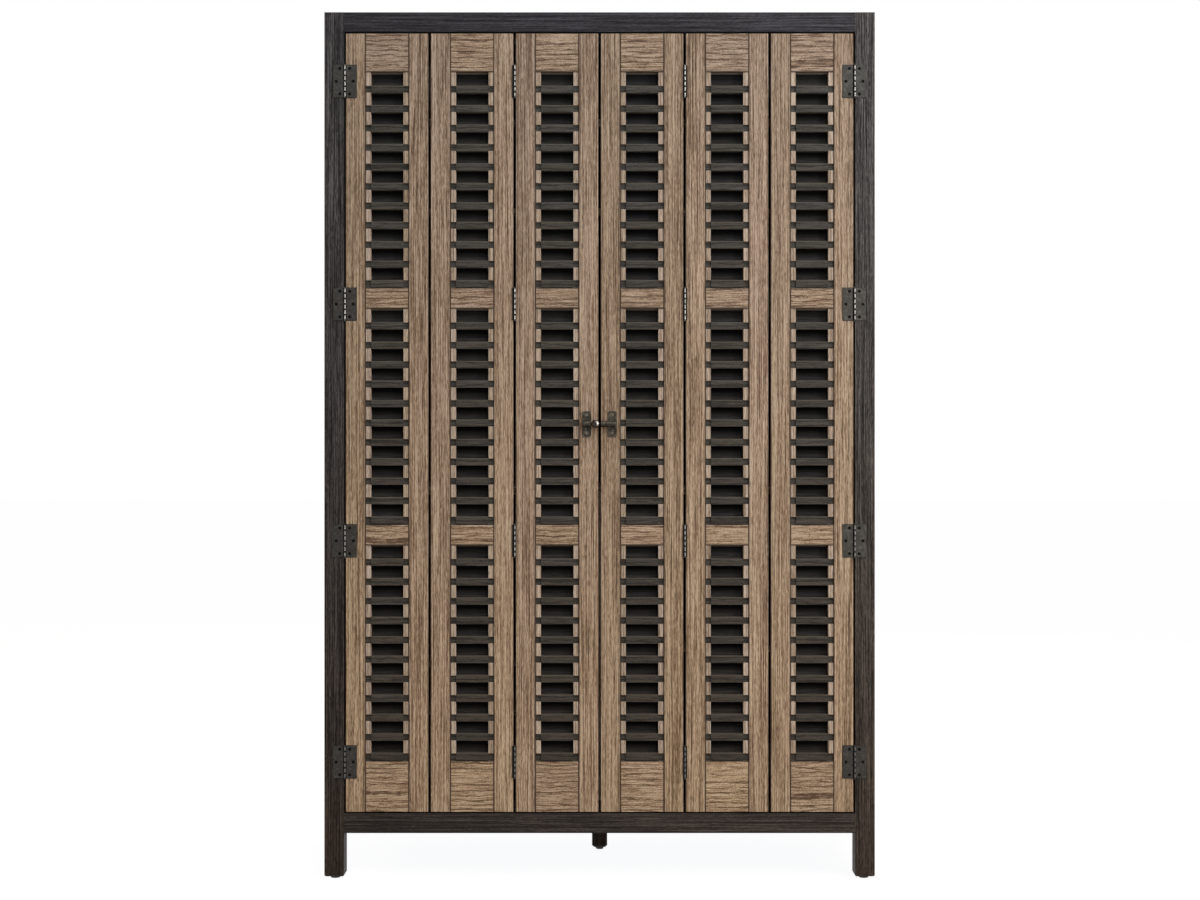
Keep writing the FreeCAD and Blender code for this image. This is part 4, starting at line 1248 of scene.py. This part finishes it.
@dataclass
class Studio:
    """White backdrop, pale floor, soft lamps and the camera at the photograph's viewpoint."""

    floor_reach: float = 30.0
    floor_colour: Colour = srgb(178, 165, 146)
    floor_white: Colour = (0.982, 0.988, 1.0, 1.0)
    floor_glow: float = 1.133
    shadow_share: float = 0.15
    sky_level: float = 0.15
    camera_distance: float = 4.0
    camera_height: float = 1.006
    camera_side: float = 0.001
    lens: float = 51.2
    sensor: float = 36.0
    lamps: Sequence[Union[Softbox, Silk]] = (
        Silk("overhead_silk", turn=20.0, height=55.0, spread=30.0, strength=2.0, colour=SILK_LIGHT),
        Softbox("right_box", place=(1.7, -4.4, 1.3), aim=(0.3, -0.27, 1.1), size=(0.7, 2.2),
                power=30.0, colour=WARM_LIGHT),
        Softbox("right_strip", place=(3.2, -2.6, 2.3), aim=(0.0, -0.27, 1.3), size=(0.8, 2.2),
                power=80.0, colour=WARM_LIGHT),
        Softbox("cool_box", place=(0.5, -4.4, 3.3), aim=(0.0, -0.27, 1.6), size=(2.4, 0.9),
                power=34.0, colour=COOL_LIGHT),
        Softbox("left_fill", place=(-3.8, 0.8, 2.2), aim=(-0.6, 0.0, 1.1), size=(1.6, 2.2),
                power=90.0, colour=PLAIN_LIGHT),
        Softbox("back_fill", place=(0.9, 4.4, 2.6), aim=(0.0, 0.28, 1.1), size=(2.4, 2.0),
                power=170.0, colour=PLAIN_LIGHT),
    )

    def build(self) -> None:
        """Sets the stage."""
        self.backdrop()
        self.floor()
        for lamp in self.lamps:
            lamp.build()
        self.camera()

    def backdrop(self) -> None:
        """A world that looks white but lights the part at a plain level."""
        world = bpy.data.worlds.new("backdrop")
        bpy.context.scene.world = world
        recipe = Recipe(world)
        strength = recipe.blend(self.seen(recipe), self.sky_level, 1.0)
        light = recipe.node("ShaderNodeBackground", {}, {"Color": WHITE, "Strength": strength})
        recipe.end(light, "ShaderNodeOutputWorld")

    @staticmethod
    def seen(recipe: Recipe) -> Signal:
        """Tells rays that look at the backdrop from rays that carry light to the part.

        Args:
            recipe: The recipe to add nodes to.

        Returns:
            One on rays from the camera, a mirror or glass, zero on others.
        """
        camera = recipe.node("ShaderNodeLightPath", {}, {}, "Is Camera Ray")
        outputs = camera.socket.node.outputs
        glossy = Signal(recipe, outputs["Is Glossy Ray"])
        clear = Signal(recipe, outputs["Is Transmission Ray"])
        return recipe.math("MINIMUM", camera + glossy + clear, 1.0)

    def floor(self) -> None:
        """A pale floor that looks white and keeps a faint shadow."""
        reach = self.floor_reach
        mesh = bpy.data.meshes.new("floor")
        corners = [(-reach, -reach, 0), (reach, -reach, 0), (reach, reach, 0), (-reach, reach, 0)]
        mesh.from_pydata(corners, [], [(0, 1, 2, 3)])
        obj = put("floor", mesh)
        recipe = material_recipe("pale_floor")
        matt = recipe.node("ShaderNodeBsdfDiffuse", {}, {"Color": self.floor_colour})
        glow = {"Color": self.floor_white, "Strength": self.floor_glow}
        white = recipe.node("ShaderNodeEmission", {}, glow)
        share = self.seen(recipe) * (1.0 - self.shadow_share)
        look = recipe.node("ShaderNodeMixShader", {}, {0: share, 1: matt, 2: white})
        mesh.materials.append(recipe.end(look))

    def camera(self) -> None:
        """A level camera in front of the doors."""
        data = bpy.data.cameras.new("photo")
        data.lens = self.lens
        data.sensor_width = self.sensor
        obj = put("photo", data)
        obj.location = (self.camera_side, DOORS.front - self.camera_distance, self.camera_height)
        obj.rotation_euler = (math.pi / 2, 0.0, 0.0)
        bpy.context.scene.camera = obj


def main() -> None:
    """Dresses the armoire and sets the stage."""
    logging.basicConfig(level=logging.INFO, format="%(name)s: %(message)s")
    bpy.context.scene.view_settings.view_transform = "Standard"
    assemblies: List[Any] = [Case(), Leaves(), Hardware(), Inside(), Studio()]
    for assembly in assemblies:
        assembly.build()
        LOG.info("%s done", type(assembly).__name__)


if __name__ == "__main__":
    main()
